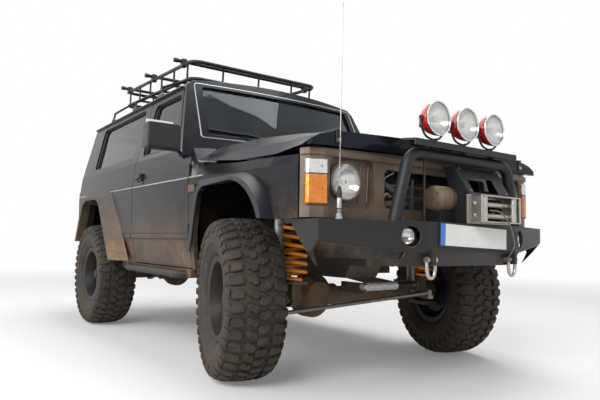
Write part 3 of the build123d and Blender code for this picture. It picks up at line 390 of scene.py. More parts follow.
def worn_steel(name, base, rusty, rough):
    """Brushed metal with patches of rust."""
    kit = Finish(name)
    rust = kit.noise(0.035, 7.0, 0.68).fade(0.72 - rusty * 0.4, 0.86 - rusty * 0.36)
    brushed = kit.noise(0.004, 4.0, 0.6, kit.stretched(1.0, 0.08, 1.0))
    brown = kit.mix(kit.noise(0.008), colour(0.20, 0.075, 0.03), colour(0.10, 0.045, 0.022))
    tone = kit.mix(rust, kit.mix(brushed, base, scaled(base, 0.7)), brown)
    return kit.done(Base_Color=tone, Metallic=0.95 * (1 - rust),
                    Roughness=kit.shade(rust, rough + 0.15 * brushed, 0.9),
                    Normal=kit.bump(kit.noise(0.006, 4.0), 0.0005, 0.4))


def rubber_finish():
    kit = Finish("tyre rubber")
    dust = kit.noise(0.07, 6.0, 0.65).fade(0.36, 0.70)
    low = kit.height.fade(0.55, 0.0) * 0.35
    amount = (dust * 0.55 + low * kit.noise(0.02)).least(1.0)
    tone = kit.mix(kit.noise(0.01, 4.0), colour(0.014, 0.013, 0.012), colour(0.026, 0.024, 0.022))
    tone = kit.mix(amount, tone, colour(0.088, 0.064, 0.043))
    crumbs = kit.bump(kit.noise(0.005, 4.0, 0.6), 0.0012, 0.6)
    return kit.done(Base_Color=tone, Roughness=kit.shade(amount, 0.6, 0.95),
                    Specular_IOR_Level=0.3, Normal=crumbs)


axle_crust = crusted("axle under mud", colour(0.045, 0.035, 0.028), colour(0.21, 0.14, 0.08), 0.75)
frame_crust = crusted("frame under dust", colour(0.025, 0.023, 0.022),
                      colour(0.17, 0.12, 0.075), 0.45)
hidden_crust = crusted("gearbox casting", colour(0.09, 0.085, 0.08),
                       colour(0.15, 0.11, 0.075), 0.5)
motor_bronze = crusted("winch motor bronze", colour(0.15, 0.10, 0.06),
                       colour(0.20, 0.14, 0.09), 0.35)
bright_steel = worn_steel("fairlead steel", colour(0.52, 0.49, 0.45), 0.42, 0.28)
dull_steel = worn_steel("dull steel", colour(0.23, 0.21, 0.19), 0.4, 0.45)
chrome = worn_steel("lamp chrome", colour(0.86, 0.86, 0.86), 0.0, 0.06)
catch_steel = worn_steel("catch steel", colour(0.45, 0.45, 0.45), 0.15, 0.3)
tyre_rubber = rubber_finish()
print("underbody:", axle_crust.name, frame_crust.name, bright_steel.name, tyre_rubber.name)

# %% [markdown]
# The bright accents are few: orange springs, pale dampers, red lamp shells and amber lenses,
# each with its own specks or haze of dirt. The seat cloth is a true weave, two rows of threads
# that take turns on top, made from two sine waves.

# %% Accents, lenses, glass and cloth


def enamel(name, base, dusty, rough, coat=0.4):
    """Smooth paint or plastic with specks of mud."""
    kit = Finish(name)
    dirt = kit.noise(0.025, 6.0, 0.65).fade(0.50, 0.78) * dusty
    tone = kit.mix(kit.noise(0.1, 3.0), base, scaled(base, 0.8))
    tone = kit.mix(dirt, tone, MUD)
    return kit.done(Base_Color=tone, Roughness=kit.shade(dirt, rough, 0.9),
                    Coat_Weight=coat * (1 - dirt), Normal=kit.bump(kit.noise(0.004), 0.0002, 0.4))


def lens(name, tint, pitch, rough=0.05):
    """Clear or coloured moulded lens with prism ribs of the given pitch."""
    kit = Finish(name)
    ribs = FULL_TURN / pitch
    waves = (kit.across * ribs).wave() * 0.5 + (kit.height * ribs).wave() * 0.5
    haze = kit.noise(0.02, 5.0).fade(0.4, 0.8)
    return kit.done(Base_Color=kit.mix(haze * 0.3, tint, colour(0.75, 0.70, 0.62)),
                    Transmission_Weight=0.94, Roughness=rough + 0.1 * haze, IOR=1.47,
                    Normal=kit.bump(waves, 0.0008, 0.5))


def window(name, tint, haze_amount):
    kit = Finish(name)
    haze = kit.noise(0.35, 6.0, 0.6).fade(0.45, 0.85) * haze_amount
    return kit.done(Base_Color=kit.mix(haze, tint, DUST), Transmission_Weight=0.97, IOR=1.3,
                    Roughness=0.015 + haze * 0.25)


def cloth():
    """A plain weave with a thread every four millimetres."""
    kit = Finish("seat cloth")
    threads = FULL_TURN / 0.004
    warp = ((kit.across.other("X") + kit.height) * threads).wave()
    weft = (kit.across * threads).wave()
    weave = warp * weft * 0.5 + 0.5
    tone = kit.mix(kit.noise(0.3), colour(0.030, 0.032, 0.038), colour(0.055, 0.055, 0.062))
    tone = kit.mix(weave * 0.6, tone, colour(0.09, 0.09, 0.10))
    return kit.done(Base_Color=tone, Roughness=0.92, Sheen_Weight=0.3,
                    Normal=kit.bump(weave, 0.0008, 0.8))


def twisted_wire():
    """Steel rope whose strands show as slanting ridges, darker in the grooves as painted shade."""
    kit = Finish("rope wire")
    strand_relief_and_shade = ((kit.across + kit.height) * (FULL_TURN / 0.0035)).wave() * 0.5 + 0.5
    rust = kit.noise(0.02, 5.0).fade(0.45, 0.7)
    # Painted shade in the grooves between the strands, and lighter crowns.
    tone = kit.mix(strand_relief_and_shade, colour(0.07, 0.06, 0.05), colour(0.30, 0.27, 0.24))
    tone = kit.mix(rust * 0.6, tone, colour(0.16, 0.075, 0.035))
    return kit.done(Base_Color=tone, Metallic=0.7, Roughness=0.45 + rust * 0.3,
                    Normal=kit.bump(strand_relief_and_shade, 0.0006, 0.8))


spring_orange = enamel("spring orange", colour(0.95, 0.30, 0.012), 0.45, 0.35)
damper_pale = enamel("damper pale grey", colour(0.50, 0.52, 0.50), 0.8, 0.4)
damper_white = enamel("damper white", colour(0.72, 0.69, 0.63), 0.55, 0.35)
shell_red = enamel("lamp shell red", colour(0.56, 0.012, 0.012), 0.15, 0.25, 1.0)
brake_red = enamel("tail lamp red", colour(0.42, 0.008, 0.008), 0.1, 0.15, 1.0)
seal_black = enamel("seal rubber", colour(0.012, 0.012, 0.012), 0.25, 0.55, 0.0)
trim_black = enamel("cab plastic", colour(0.030, 0.030, 0.032), 0.1, 0.6, 0.0)
white_plate = enamel("plate white", colour(0.80, 0.80, 0.78), 0.12, 0.35)
blue_plate = enamel("plate blue", colour(0.02, 0.17, 0.60), 0.1, 0.35)
clear_lens = lens("clear lens", colour(0.96, 0.96, 0.95), 0.011)
amber_lens = lens("amber lens", colour(1.0, 0.29, 0.008), 0.007, 0.10)
screen_glass = window("windscreen glass", colour(0.20, 0.27, 0.31), 0.03)
side_glass = window("side glass", colour(0.20, 0.215, 0.215), 0.05)
seat_cloth = cloth()
rope_wire = twisted_wire()
print("accents:", spring_orange.name, shell_red.name, clear_lens.name, seat_cloth.name)

# %% [markdown]
# Most panels keep the exact shape of their steel. A copy of each is welded from its loose
# triangles, its flat faces are joined up again, and its sharp edges get a small bevel, because a
# real pressed or folded edge is never a knife: the bevel is what catches the light.

# %% Panels from the frame


def finish_piece(piece, slot_name, *nodes, body="chassis"):
    """Lets a piece ride on its body and stand for its nodes."""
    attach(piece, body)
    if nodes:
        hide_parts(*nodes)
    return piece


def body_carrying(node):
    return frame["nodes"][node]["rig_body"]


def slot_of(node):
    subparts = frame["record"]["subparts"]
    return next(part["material_slot"] for part in subparts if part["node"] == node)


def linked(name, data):
    """An object for a mesh, a curve, a lamp or a camera, in the scene."""
    piece = bpy.data.objects.new(name, data)
    scene.collection.objects.link(piece)
    return piece


def smooth_by_angle(mesh, degrees):
    """Smooth shading that stays crisp where faces meet at more than the angle."""
    for face in mesh.polygons:
        face.use_smooth = True
    mesh.set_sharp_from_angle(angle=math.radians(degrees))


def object_from(shape, name, material, degrees=35.0):
    """Turns a bmesh into a linked object."""
    mesh = bpy.data.meshes.new(name)
    shape.to_mesh(mesh)
    shape.free()
    mesh.materials.append(material)
    smooth_by_angle(mesh, degrees)
    return linked(name, mesh)


def applied(piece):
    """Makes a piece's modifiers part of its mesh."""
    graph = bpy.context.evaluated_depsgraph_get()
    mesh = bpy.data.meshes.new_from_object(piece.evaluated_get(graph), depsgraph=graph)
    piece.modifiers.clear()
    piece.data = mesh
    return piece


def bevelled(piece, width, segments=2, degrees=32.0):
    """Rounds the sharp edges for good, and keeps the wide faces between them flat."""
    edge = piece.modifiers.new("edge", "BEVEL")
    edge.width = width
    edge.segments = segments
    edge.limit_method = "ANGLE"
    edge.angle_limit = math.radians(degrees)
    edge.harden_normals = False
    applied(piece)
    smooth_by_angle(piece.data, 42.0)
    flat = piece.modifiers.new("flat faces", "WEIGHTED_NORMAL")
    flat.keep_sharp = True
    return applied(piece)


WELD = 0.00004
FLAT_WITHIN = math.radians(1.2)


def panel(node, material, edge=0.004, degrees=35.0, fold=32.0):
    """A welded copy of a frame piece, with folds above an angle softened."""
    shape = bmesh.new()
    shape.from_mesh(frame["nodes"][node].data)
    bmesh.ops.remove_doubles(shape, verts=shape.verts, dist=WELD)
    bmesh.ops.dissolve_limit(shape, angle_limit=FLAT_WITHIN, verts=shape.verts, edges=shape.edges)
    piece = object_from(shape, node + "_skin", material, degrees)
    if edge:
        bevelled(piece, edge, 2, fold)
    return finish_piece(piece, slot_of(node), node, body=body_carrying(node))


def split_material(piece, second, chosen):
    """Gives the faces for which chosen says yes a second material."""
    piece.data.materials.append(second)
    for face in piece.data.polygons:
        face.material_index = int(chosen(face.center))


skins = {}
for node, paint, edge, fold in (
        ("bonnet", bonnet_black_painted_sky, 0.010, 4.0), ("front_wings", body_black, 0.008, 4.0),
        ("door_right", body_black, 0.004, 5.0), ("door_left", body_black, 0.004, 5.0),
        ("side_panels", body_black, 0.004, 5.0), ("roof", body_black, 0.006, 20.0),
        ("windscreen_frame", body_black, 0.005, 32.0), ("cab_tub", body_black, 0.003, 32.0),
        ("rear_door_right", body_black, 0.004, 5.0), ("rear_door_left", body_black, 0.004, 5.0),
        ("front_panel", nose_paint, 0.005, 20.0), ("front_bumper", powder_black, 0.003, 32.0),
        ("rear_bumper", powder_black, 0.004, 32.0), ("side_steps", powder_black, 0.003, 32.0)):
    skins[node] = panel(node, paint, edge, fold=fold)
    print(node, len(skins[node].data.polygons), "faces")

# %% [markdown]
# Small solids are built here from a few shapes: a box, a prism over an outline, a turned form
# such as a lamp shell, and a bar that follows some points. Each one adds loose geometry to a
# bmesh, so that a whole bracket is joined as one mesh before it becomes an object.

# %% Boxes, turned forms and bars


def add_box(shape, xs, ys, zs):
    """A box from its reach along each axis, with X counted from the front axle."""
    low, high = (spot(*corner) for corner in zip(*map(sorted, (xs, ys, zs))))
    made = bmesh.ops.create_cube(shape, size=1.0)["verts"]
    bmesh.ops.transform(shape, matrix=Matrix.Diagonal((*(high - low), 1.0)), verts=made)
    bmesh.ops.translate(shape, vec=(low + high) / 2, verts=made)


def around(steps):
    """Even steps of one full turn, as angles."""
    return [FULL_TURN * step / steps for step in range(steps)]


def add_loft(shape, rings, capped=True):
    """A skin over successive rings of corners; a ring may also be a single point."""
    for first, second in zip(rings, rings[1:]):
        count = max(len(first), len(second))
        for step in range(count if count > 1 else 0):
            after = (step + 1) % count
            corners = (first[step % len(first)], first[after % len(first)],
                       second[after % len(second)], second[step % len(second)])
            shape.faces.new(list(dict.fromkeys(corners)))
    if capped:
        shape.faces.new(list(reversed(rings[0])))
        shape.faces.new(rings[-1])


PLANES = {"xy": spot, "yz": lambda y, z, x: spot(x, y, z), "xz": lambda x, z, y: spot(x, y, z)}


def add_prism(shape, outline, low, high, plane="xy"):
    """A prism over an outline in one plane, between two distances along the third axis."""
    add_loft(shape, [[shape.verts.new(PLANES[plane](a, b, c)) for a, b in outline]
                     for c in sorted((low, high))])


def facing(direction):
    """The turn that takes Z to the given direction."""
    return Vector(UP).rotation_difference(Vector(direction)).to_matrix().to_4x4()


def add_turned(shape, profile, place, direction, steps=48):
    """Turns (radius, height) points about an axis from the place along the direction."""
    rings = []
    for radius, height in profile:
        turns = around(steps) if radius else [0.0]
        rings.append([shape.verts.new((radius * math.cos(a), radius * math.sin(a), height))
                      for a in turns])
    add_loft(shape, rings, capped=False)
    made = [vert for ring in rings for vert in ring]
    bmesh.ops.transform(shape, matrix=Matrix.Translation(place) @ facing(direction), verts=made)


def add_pin(shape, radius, low, high, place, direction, steps=16):
    """A plain round pin between two heights on its axis."""
    add_turned(shape, [(0, low), (radius, low), (radius, high), (0, high)], place, direction, steps)


def add_bar(shape, points, radius, sides=12, closed=False):
    """A round bar through the points, its ends closed flat."""
    points = [Vector(point) for point in points]
    last = len(points) - 1
    side = None
    rings = []
    for index, point in enumerate(points):
        before = points[index - 1] if closed or index else point
        after = points[(index + 1) % (last + 1)] if closed or index < last else point
        along = (after - before).normalized()
        side = side or along.orthogonal().normalized()
        side = (side - along * side.dot(along)).normalized()
        across = along.cross(side)
        rings.append([shape.verts.new(point + radius * (side * math.cos(a) + across * math.sin(a)))
                      for a in around(sides)])
    add_loft(shape, rings + rings[:1] if closed else rings, capped=not closed)


def curved(points, steps=6):
    """More points through a few, on smooth Catmull-Rom arcs."""
    points = [Vector(point) for point in points]
    line = [points[0] * 2 - points[1], *points, points[-1] * 2 - points[-2]]
    out = []
    for a, b, c, d in zip(line, line[1:], line[2:], line[3:]):
        for t in (step / steps for step in range(steps)):
            out.append(0.5 * (2 * b + (c - a) * t + (2 * a - 5 * b + 4 * c - d) * t * t
                              + (3 * b - a - 3 * c + d) * t ** 3))
    return [*out, points[-1]]


def shapes(count):
    """As many empty bmeshes."""
    return (bmesh.new() for _ in range(count))


def closed_out(shape):
    """Points every face outwards."""
    bmesh.ops.recalc_face_normals(shape, faces=shape.faces)
    return shape


def solid(shape, name, material, edge=0.0):
    """An object from closed shapes, with rounded edges if asked."""
    piece = object_from(closed_out(shape), name, material)
    return bevelled(piece, edge) if edge else piece


def joined(name, *pieces):
    """One object from several, under one name."""
    shape = bmesh.new()
    materials = []
    for piece in pieces:
        start = len(shape.faces)
        shape.from_mesh(piece.data)
        shape.faces.ensure_lookup_table()
        for face in shape.faces[start:]:
            material = piece.data.materials[face.material_index]
            if material not in materials:
                materials.append(material)
            face.material_index = materials.index(material)
        bpy.data.objects.remove(piece)
    mesh = bpy.data.meshes.new(name)
    shape.to_mesh(mesh)
    shape.free()
    for material in materials:
        mesh.materials.append(material)
    mesh.set_sharp_from_angle(angle=math.radians(38.0))
    return linked(name, mesh)


def assembly(name, slot_name, parts, *nodes, body="chassis", ready=()):
    """One finished piece from ready objects and from shapes, each shape with its material
    and, where its edges are rounded, their width."""
    made = [solid(shape, name + "_part", *look) for shape, *look in parts if shape.faces]
    return finish_piece(joined(name, *ready, *made), slot_name, *nodes, body=body)


print("shape helpers ready")

# %% [markdown]
# Geometry Nodes do the repeating. Three small trees cover this car: one turns copies of a
# template about an axis, as tread blocks and wheel nuts stand; one sets copies in a row, as
# fins and ribs do; one winds a wire into a spring. Each tree ends with its instances made real
# and its material set, and its result is kept as a plain mesh.

# %% Trees that repeat


class Growth(Tree):
    """A geometry tree with named inputs, which its nodes take by name."""

    def __init__(self, name, **inputs):
        super().__init__(bpy.data.node_groups.new(name, "GeometryNodeTree"))
        for label, kind in {**inputs, "Material": "Material"}.items():
            self.socket(label, "INPUT", kind)
        self.socket("Geometry", "OUTPUT", "Geometry")
        self.given = self.node("NodeGroupInput")

    def socket(self, label, way, kind):
        self.tree.interface.new_socket(label, in_out=way, socket_type="NodeSocket" + kind)

    def grow(self, kind, output=0, **inputs):
        """A geometry node; an input is written as a value, or as the name of a tree's input."""
        inputs = {label.replace("_", " "): self.given.other(value) if isinstance(value, str)
                  else value for label, value in inputs.items()}
        return self.node(kind, None, inputs, output)

    def template(self):
        return self.grow("GeometryNodeObjectInfo", "Geometry", Object="Template")

    def finish(self, shape):
        real = self.grow("GeometryNodeRealizeInstances", Geometry=shape)
        coated = self.grow("GeometryNodeSetMaterial", Geometry=real, Material="Material")
        self.grow("NodeGroupOutput", Geometry=coated)
        return self.tree


def ring_tree():
    """Copies of a template, turned evenly about an axis."""
    growth = Growth("ring of copies", Template="Object", Count="Int", Axis="Vector")
    points = growth.grow("GeometryNodePoints", "Points", Count="Count")
    angle = growth.node("GeometryNodeInputIndex") * FULL_TURN / growth.given.other("Count")
    turn = growth.grow("FunctionNodeAxisAngleToRotation", Axis="Axis", Angle=angle)
    return growth.finish(growth.grow("GeometryNodeInstanceOnPoints", Points=points,
                                     Instance=growth.template(), Rotation=turn))


def row_tree():
    """Copies of a template at even steps from where it stands."""
    growth = Growth("row of copies", Template="Object", Count="Int", Step="Vector")
    number = growth.node("GeometryNodeInputIndex")
    place = growth.node("ShaderNodeVectorMath", {"operation": "SCALE"},
                        {"Vector": growth.given.other("Step"), "Scale": number})
    points = growth.grow("GeometryNodePoints", "Points", Count="Count", Position=place)
    return growth.finish(growth.grow("GeometryNodeInstanceOnPoints", Points=points,
                                     Instance=growth.template()))


def spring_tree():
    """A wire wound into an upright spring."""
    growth = Growth("wound spring", Turns="Float", Radius="Float", Wire="Float", Height="Float",
                    Centre="Vector")
    spiral = growth.grow("GeometryNodeCurveSpiral", Resolution=28, Rotations="Turns",
                         Start_Radius="Radius", End_Radius="Radius", Height="Height")
    section = growth.grow("GeometryNodeCurvePrimitiveCircle", Resolution=12, Radius="Wire")
    wire = growth.grow("GeometryNodeCurveToMesh", Curve=spiral, Profile_Curve=section,
                       Fill_Caps=True)
    return growth.finish(growth.grow("GeometryNodeTransform", Geometry=wire, Translation="Centre"))


ring_of_copies = ring_tree()
row_of_copies = row_tree()
wound_spring = spring_tree()


def grown(tree, name, **values):
    """Runs a tree with its inputs set and keeps the result as a plain mesh object."""
    piece = linked(name, bpy.data.meshes.new(name))
    growth = piece.modifiers.new("growth", "NODES")
    growth.node_group = tree
    for item in tree.interface.items_tree:
        if item.in_out == "INPUT":
            growth[item.identifier] = values[item.name]
    applied(piece)
    smooth_by_angle(piece.data, 40.0)
    return piece


def repeated(tree, shape, name, material, **values):
    """Grows copies of a bmesh, which is then thrown away."""
    template = solid(shape, name + "_template", material)
    piece = grown(tree, name, Template=template, Material=material, **values)
    bpy.data.objects.remove(template)
    return piece


print("trees:", ring_of_copies.name, row_of_copies.name, wound_spring.name)

# %% [markdown]
# A mud tyre is a soft round case with a crown of hard blocks. Two staggered rows of notched
# blocks lock into each other down the middle, and a ring of long lugs, every second one shorter,
# wraps the shoulder and bites the sidewall. One pitch of that pattern is modelled at the top of
# a tyre whose middle is the origin, and the ring tree turns it round the wheel.

# %% The tyres
TREAD_PITCHES = 20
PITCH = FULL_TURN * TYRE_RADIUS / TREAD_PITCHES
TYRE_HALF = (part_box("tyre_rear_right")[1].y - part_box("tyre_rear_right")[0].y) / 2
RIM_RADIUS = (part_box("wheel_rear_right")[1].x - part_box("wheel_rear_right")[0].x) / 2
GROOVE = 0.015
CASE_RADIUS = TYRE_RADIUS - GROOVE
BEAD_RADIUS = RIM_RADIUS - 0.002
BEAD_HALF = 0.095
ORIGIN = (0, 0, 0)
BLOCK = ((0.0, 0.004), (0.030, -0.002), (0.036, 0.012), (0.051, 0.012), (0.062, 0.028),
         (0.056, 0.050), (0.034, 0.054), (0.028, 0.042), (0.010, 0.046), (-0.003, 0.030))


def case_radius(across):
    """Radius of the case under the tread, which falls away towards the shoulders."""
    share = min(abs(across) / TYRE_HALF, 1.0)
    return CASE_RADIUS - 0.034 * share ** 4 - 0.004 * share ** 2


def add_lug(shape, outline, lift, taper=0.88):
    """A block on the case: outline in (across, round) metres, sides drawn in to the top."""
    root, chamfer = 0.004, 0.0022
    centre = [sum(values) / len(outline) for values in zip(*outline)]
    rings = []
    for share, height in ((1.0, -root), (taper, lift - chamfer), (taper - 0.07, lift)):
        ring = []
        for corner in outline:
            across, along = (mid + (value - mid) * share for mid, value in zip(centre, corner))
            base = case_radius(across) + height
            angle = along / TYRE_RADIUS
            ring.append(shape.verts.new((base * math.sin(angle), across, base * math.cos(angle))))
        rings.append(ring)
    add_loft(shape, rings)


def add_side_biter(shape, side, start, drop):
    """The lug's foot on the shoulder, running down the sidewall."""
    wall = ((0.139, 0.026), (0.148, 0.034), (0.1535, 0.044), (0.1538, 0.050 + drop),
            (0.147, 0.056 + drop), (0.139, 0.052 + drop))
    rings = []
    for share, inset in ((0.12, 0.004), (0.20, 0.0), (0.66, 0.0), (0.74, 0.004)):
        angle = (start + PITCH / 2 * share) / TYRE_RADIUS
        ring = [((TYRE_RADIUS - down) * math.sin(angle), side * (y - inset),
                 (TYRE_RADIUS - down) * math.cos(angle)) for y, down in wall]
        rings.append([shape.verts.new(place) for place in ring])
    add_loft(shape, rings)


def tread_pitch():
    """One step of the pattern, notched centre blocks and two lengths of shoulder lug."""
    shape = bmesh.new()
    for side in (-1, 1):
        for step, reach, drop in ((0, 0.136, 0.018), (1, 0.147, 0.030)):
            start = (step + (0.5 if side > 0 else 0.0)) * PITCH / 2
            lug = ((0.071, 0.010), (0.094, 0.004), (reach - 0.012, 0.002), (reach, 0.008),
                   (reach, 0.036), (reach - 0.014, 0.044), (0.098, 0.050), (0.074, 0.046))
            add_lug(shape, [(side * y, start + s) for y, s in BLOCK], GROOVE)
            add_lug(shape, [(side * y, start + s) for y, s in lug], GROOVE + 0.001, 0.90)
            add_side_biter(shape, side, start, drop)
    return shape


def case_profile():
    """Half section of the case from bead to bead, with rim guard and sidewall bands."""
    crown = [(case_radius(y), y)
             for y in (-0.135, -0.12, -0.09, -0.045, 0.0, 0.045, 0.09, 0.12, 0.135)]
    wall = [(BEAD_RADIUS - 0.012, BEAD_HALF), (BEAD_RADIUS + 0.006, BEAD_HALF + 0.012),
            (BEAD_RADIUS + 0.016, BEAD_HALF + 0.030), (BEAD_RADIUS + 0.028, BEAD_HALF + 0.036),
            (BEAD_RADIUS + 0.034, 0.134), (0.292, 0.143), (0.294, 0.1455), (0.318, 0.1475),
            (0.320, 0.1455), (0.345, 0.146), (TYRE_RADIUS - 0.058, 0.144),
            (TYRE_RADIUS - 0.040, 0.141)]
    return [(radius, -y) for radius, y in wall] + crown + wall[::-1]


def tyre(name, node, axis):
    """A tyre on its wheel's place, its outer side towards the axis."""
    case = bmesh.new()
    add_turned(case, case_profile(), ORIGIN, LEFT, 96)
    case = object_from(closed_out(case), name + "_case", tyre_rubber, 50.0)
    crown = repeated(ring_of_copies, tread_pitch(), name + "_tread", tyre_rubber,
                     Count=TREAD_PITCHES, Axis=LEFT)
    whole = joined(name, case, crown)
    turn = Matrix.Rotation(math.atan2(-axis.x, axis.y), 4, "Z")
    whole.data.transform(Matrix.Translation(middle(node)) @ turn)
    return finish_piece(whole, "tyre_rubber", node, body=body_carrying(node))


WHEELS = {corner: axle_axis("wheel_" + corner) * (-1 if corner.endswith("right") else 1)
          for corner in ("front_right", "front_left", "rear_right", "rear_left")}
BACKWARD = Vector((-1, 0, 0))
for corner, out in WHEELS.items():
    made = tyre("mud_tyre_" + corner, "tyre_" + corner, out)
tyre("mud_tyre_spare", "spare_tyre", BACKWARD)
print("each tyre has", len(made.data.polygons), "faces")

# %% [markdown]
# The wheel is a welded steel one: a deep rolled rim and a dished disc with round vents, painted
# black. Its nuts stand in a ring about a plain hub.

# %% The wheels
RIM = [(RIM_RADIUS - inward, height) for inward, height in (
    (0.041, -0.085), (0.033, -0.112), (0.002, -0.1155), (0, -0.111), (0.006, -0.106),
    (0.021, -0.098), (0.024, -0.060), (0.050, -0.040), (0.050, 0.030), (0.024, 0.060),
    (0.021, 0.098), (0.006, 0.106), (0, 0.111), (0.002, 0.1155), (0.033, 0.112), (0.041, 0.085),
    (0.056, 0.050), (0.060, -0.050))]
DISC_ROWS = ((0.166, -0.024), (0.150, -0.012), (0.112, 0.014), (0.092, 0.018), (0.062, 0.010))
DISC_THICK = 0.007
HUB = [(0.062, 0.004), (0.060, 0.040), (0.052, 0.062), (0.036, 0.070), (0.033, 0.078), (0, 0.080)]
DRUM = [(0, -0.075), (0.150, -0.075), (0.150, -0.045), (0.11, -0.035), (0, -0.035)]
NUT = [(0.0125, 0.010), (0.0125, 0.030), (0.009, 0.034), (0, 0.034)]
NUT_CIRCLE = 0.078
VENTS, STEPS_PER_VENT, OPEN_STEPS = 8, 6, (1, 2, 3)


def add_vented_disc(shape):
    """A dished disc of two skins whose second band is cut by round-ended vents."""
    steps = VENTS * STEPS_PER_VENT
    front, back = ([[shape.verts.new((radius * math.cos(a), radius * math.sin(a), height + lift))
                     for a in around(steps)] for radius, height in DISC_ROWS]
                   for lift in (0.0, -DISC_THICK))
    vented = {vent * STEPS_PER_VENT + step for vent in range(VENTS) for step in OPEN_STEPS}

    def wall(row, step, other_row, other_step):
        """A face between the two skins, from one corner of their grid to another."""
        step, other_step = step % steps, other_step % steps
        shape.faces.new((front[row][step], front[other_row][other_step],
                         back[other_row][other_step], back[row][step]))

    for skin in (front, back):
        for row in range(len(DISC_ROWS) - 1):
            for step in range(steps):
                if row != 1 or step not in vented:
                    after = (step + 1) % steps
                    shape.faces.new((skin[row][step], skin[row][after], skin[row + 1][after],
                                     skin[row + 1][step]))
    for step in vented:
        wall(1, step, 1, step + 1)
        wall(2, step, 2, step + 1)
        for edge, beside in ((step, step - 1), (step + 1, step + 1)):
            if beside % steps not in vented:
                wall(1, edge, 2, edge)
    for row in (0, len(DISC_ROWS) - 1):
        for step in range(steps):
            wall(row, step, row, step + 1)


def wheel(name, node, out):
    """Rim, disc, hub and nuts, with the face towards out."""
    shape, nut = shapes(2)
    add_turned(shape, RIM + RIM[:1], ORIGIN, UP, 72)
    add_vented_disc(shape)
    add_turned(shape, HUB, ORIGIN, UP, 32)
    add_turned(shape, DRUM, ORIGIN, UP, 40)
    bmesh.ops.remove_doubles(shape, verts=shape.verts, dist=0.0002)
    disc = object_from(closed_out(shape), name + "_disc", wheel_black, 38.0)
    add_turned(nut, NUT, (NUT_CIRCLE, 0, 0), UP, 6)
    nuts = repeated(ring_of_copies, nut, name + "_nuts", dull_steel, Count=6, Axis=UP)
    whole = joined(name, disc, nuts)
    whole.data.transform(Matrix.Translation(middle(node)) @ facing(out))
    return finish_piece(whole, "wheel_steel", node, body=body_carrying(node))


for corner, out in WHEELS.items():
    made = wheel("steel_wheel_" + corner, "wheel_" + corner, out)
wheel("steel_wheel_spare", "spare_wheel", BACKWARD)
print("each wheel has", len(made.data.polygons), "faces")

# %% [markdown]
# Most of the underbody keeps its own solids and only gets its dirt. The springs are wound for
# real round a rubber bump stop, and each damper is a pale body with a bright rod and a dust
# cover, so that what shows beside the turned front wheel is true. Across the front lies the
# steering damper, white with a pleated rubber gaiter.

# %% Underbody, springs and dampers
for crust, nodes in ((frame_crust, ("chassis_frame", "suspension_arms", "fuel_tank")),
                     (axle_crust, ("front_axle", "rear_axle", "knuckle_right", "knuckle_left")),
                     (hidden_crust, ("powertrain",)),
                     (dull_steel, ("exhaust", "track_rod", "drag_link", "pitman_arm"))):
    for node in nodes:
        panel(node, crust, 0.002)

SPRING_SEATS = ((0.085, 0.828), (-WHEELBASE, 0.790))
SPRING_Y, SPRING_FOOT, SPRING_RADIUS, SPRING_WIRE = 0.505, 0.515, 0.061, 0.0105
BUMP_STOP = [(0, 0), (0.024, 0), (0.026, 0.01), (0.019, 0.022), (0.026, 0.034), (0.019, 0.046),
             (0.030, 0.058), (0.030, 0.12), (0, 0.12)]
springs = []
for x, high in SPRING_SEATS:
    for side in (-1, 1):
        springs.append(grown(wound_spring, "coil", Turns=6.5, Radius=SPRING_RADIUS,
                             Wire=SPRING_WIRE, Height=high - SPRING_FOOT - 2 * SPRING_WIRE,
                             Centre=spot(x, side * SPRING_Y, SPRING_FOOT + SPRING_WIRE),
                             Material=spring_orange))
        stop = bmesh.new()
        add_turned(stop, BUMP_STOP, spot(x, side * SPRING_Y, high - 0.12), UP, 20)
        springs.append(solid(stop, "stop", seal_black))
finish_piece(joined("wound_springs", *springs), "spring_paint", "coil_springs")

DAMPER_RADIUS, DAMPER_Y, DAMPER_FOOT = 0.028, 0.535, 0.475
ROD_RADIUS = 0.011
bodies, rods, barrel, gaiter = shapes(4)
for x, top in ((-0.03, 0.898), (-2.24, 0.804)):
    length = top - DAMPER_FOOT
    half = length * 0.52
    inner, collar = DAMPER_RADIUS * 0.92, length - 0.018
    tube = [(0, 0.012), (DAMPER_RADIUS * 0.8, 0.012), (inner, 0.02), (inner, half), (0, half)]
    cover = [(0.012, half), (DAMPER_RADIUS, half - 0.03), (DAMPER_RADIUS, length - 0.03),
             (DAMPER_RADIUS * 0.7, collar), (0, collar)]
    for side in (-1, 1):
        foot = spot(x, side * DAMPER_Y, DAMPER_FOOT)
        add_turned(bodies, tube, foot, UP, 24)
        add_turned(bodies, cover, foot, UP, 24)
        add_pin(rods, ROD_RADIUS, 0, length, foot, UP)

STEERING_DAMPER = spot(0.205, -0.10, 0.478)
BARREL = [(0, -0.02), (0.019, -0.02), (0.023, -0.012), (0.024, 0), (0.024, 0.25), (0.021, 0.258),
          (0.012, 0.258), (0.012, 0.262), (0, 0.262)]
PLEATS = [point for fold in range(7)
          for point in ((0.020, 0.268 + fold * 0.018), (0.014, 0.277 + fold * 0.018))]
add_turned(barrel, BARREL, STEERING_DAMPER, LEFT, 28)
add_turned(gaiter, [(0.012, 0.262), *PLEATS, (0, PLEATS[-1][1])], STEERING_DAMPER, LEFT, 28)
add_pin(rods, 0.010, 0.25, 0.422, STEERING_DAMPER, LEFT)
assembly("damper_set", "damper_paint", ((bodies, damper_pale), (rods, dull_steel),
                                        (barrel, damper_white), (gaiter, seal_black)), "dampers")
print("springs and dampers done")
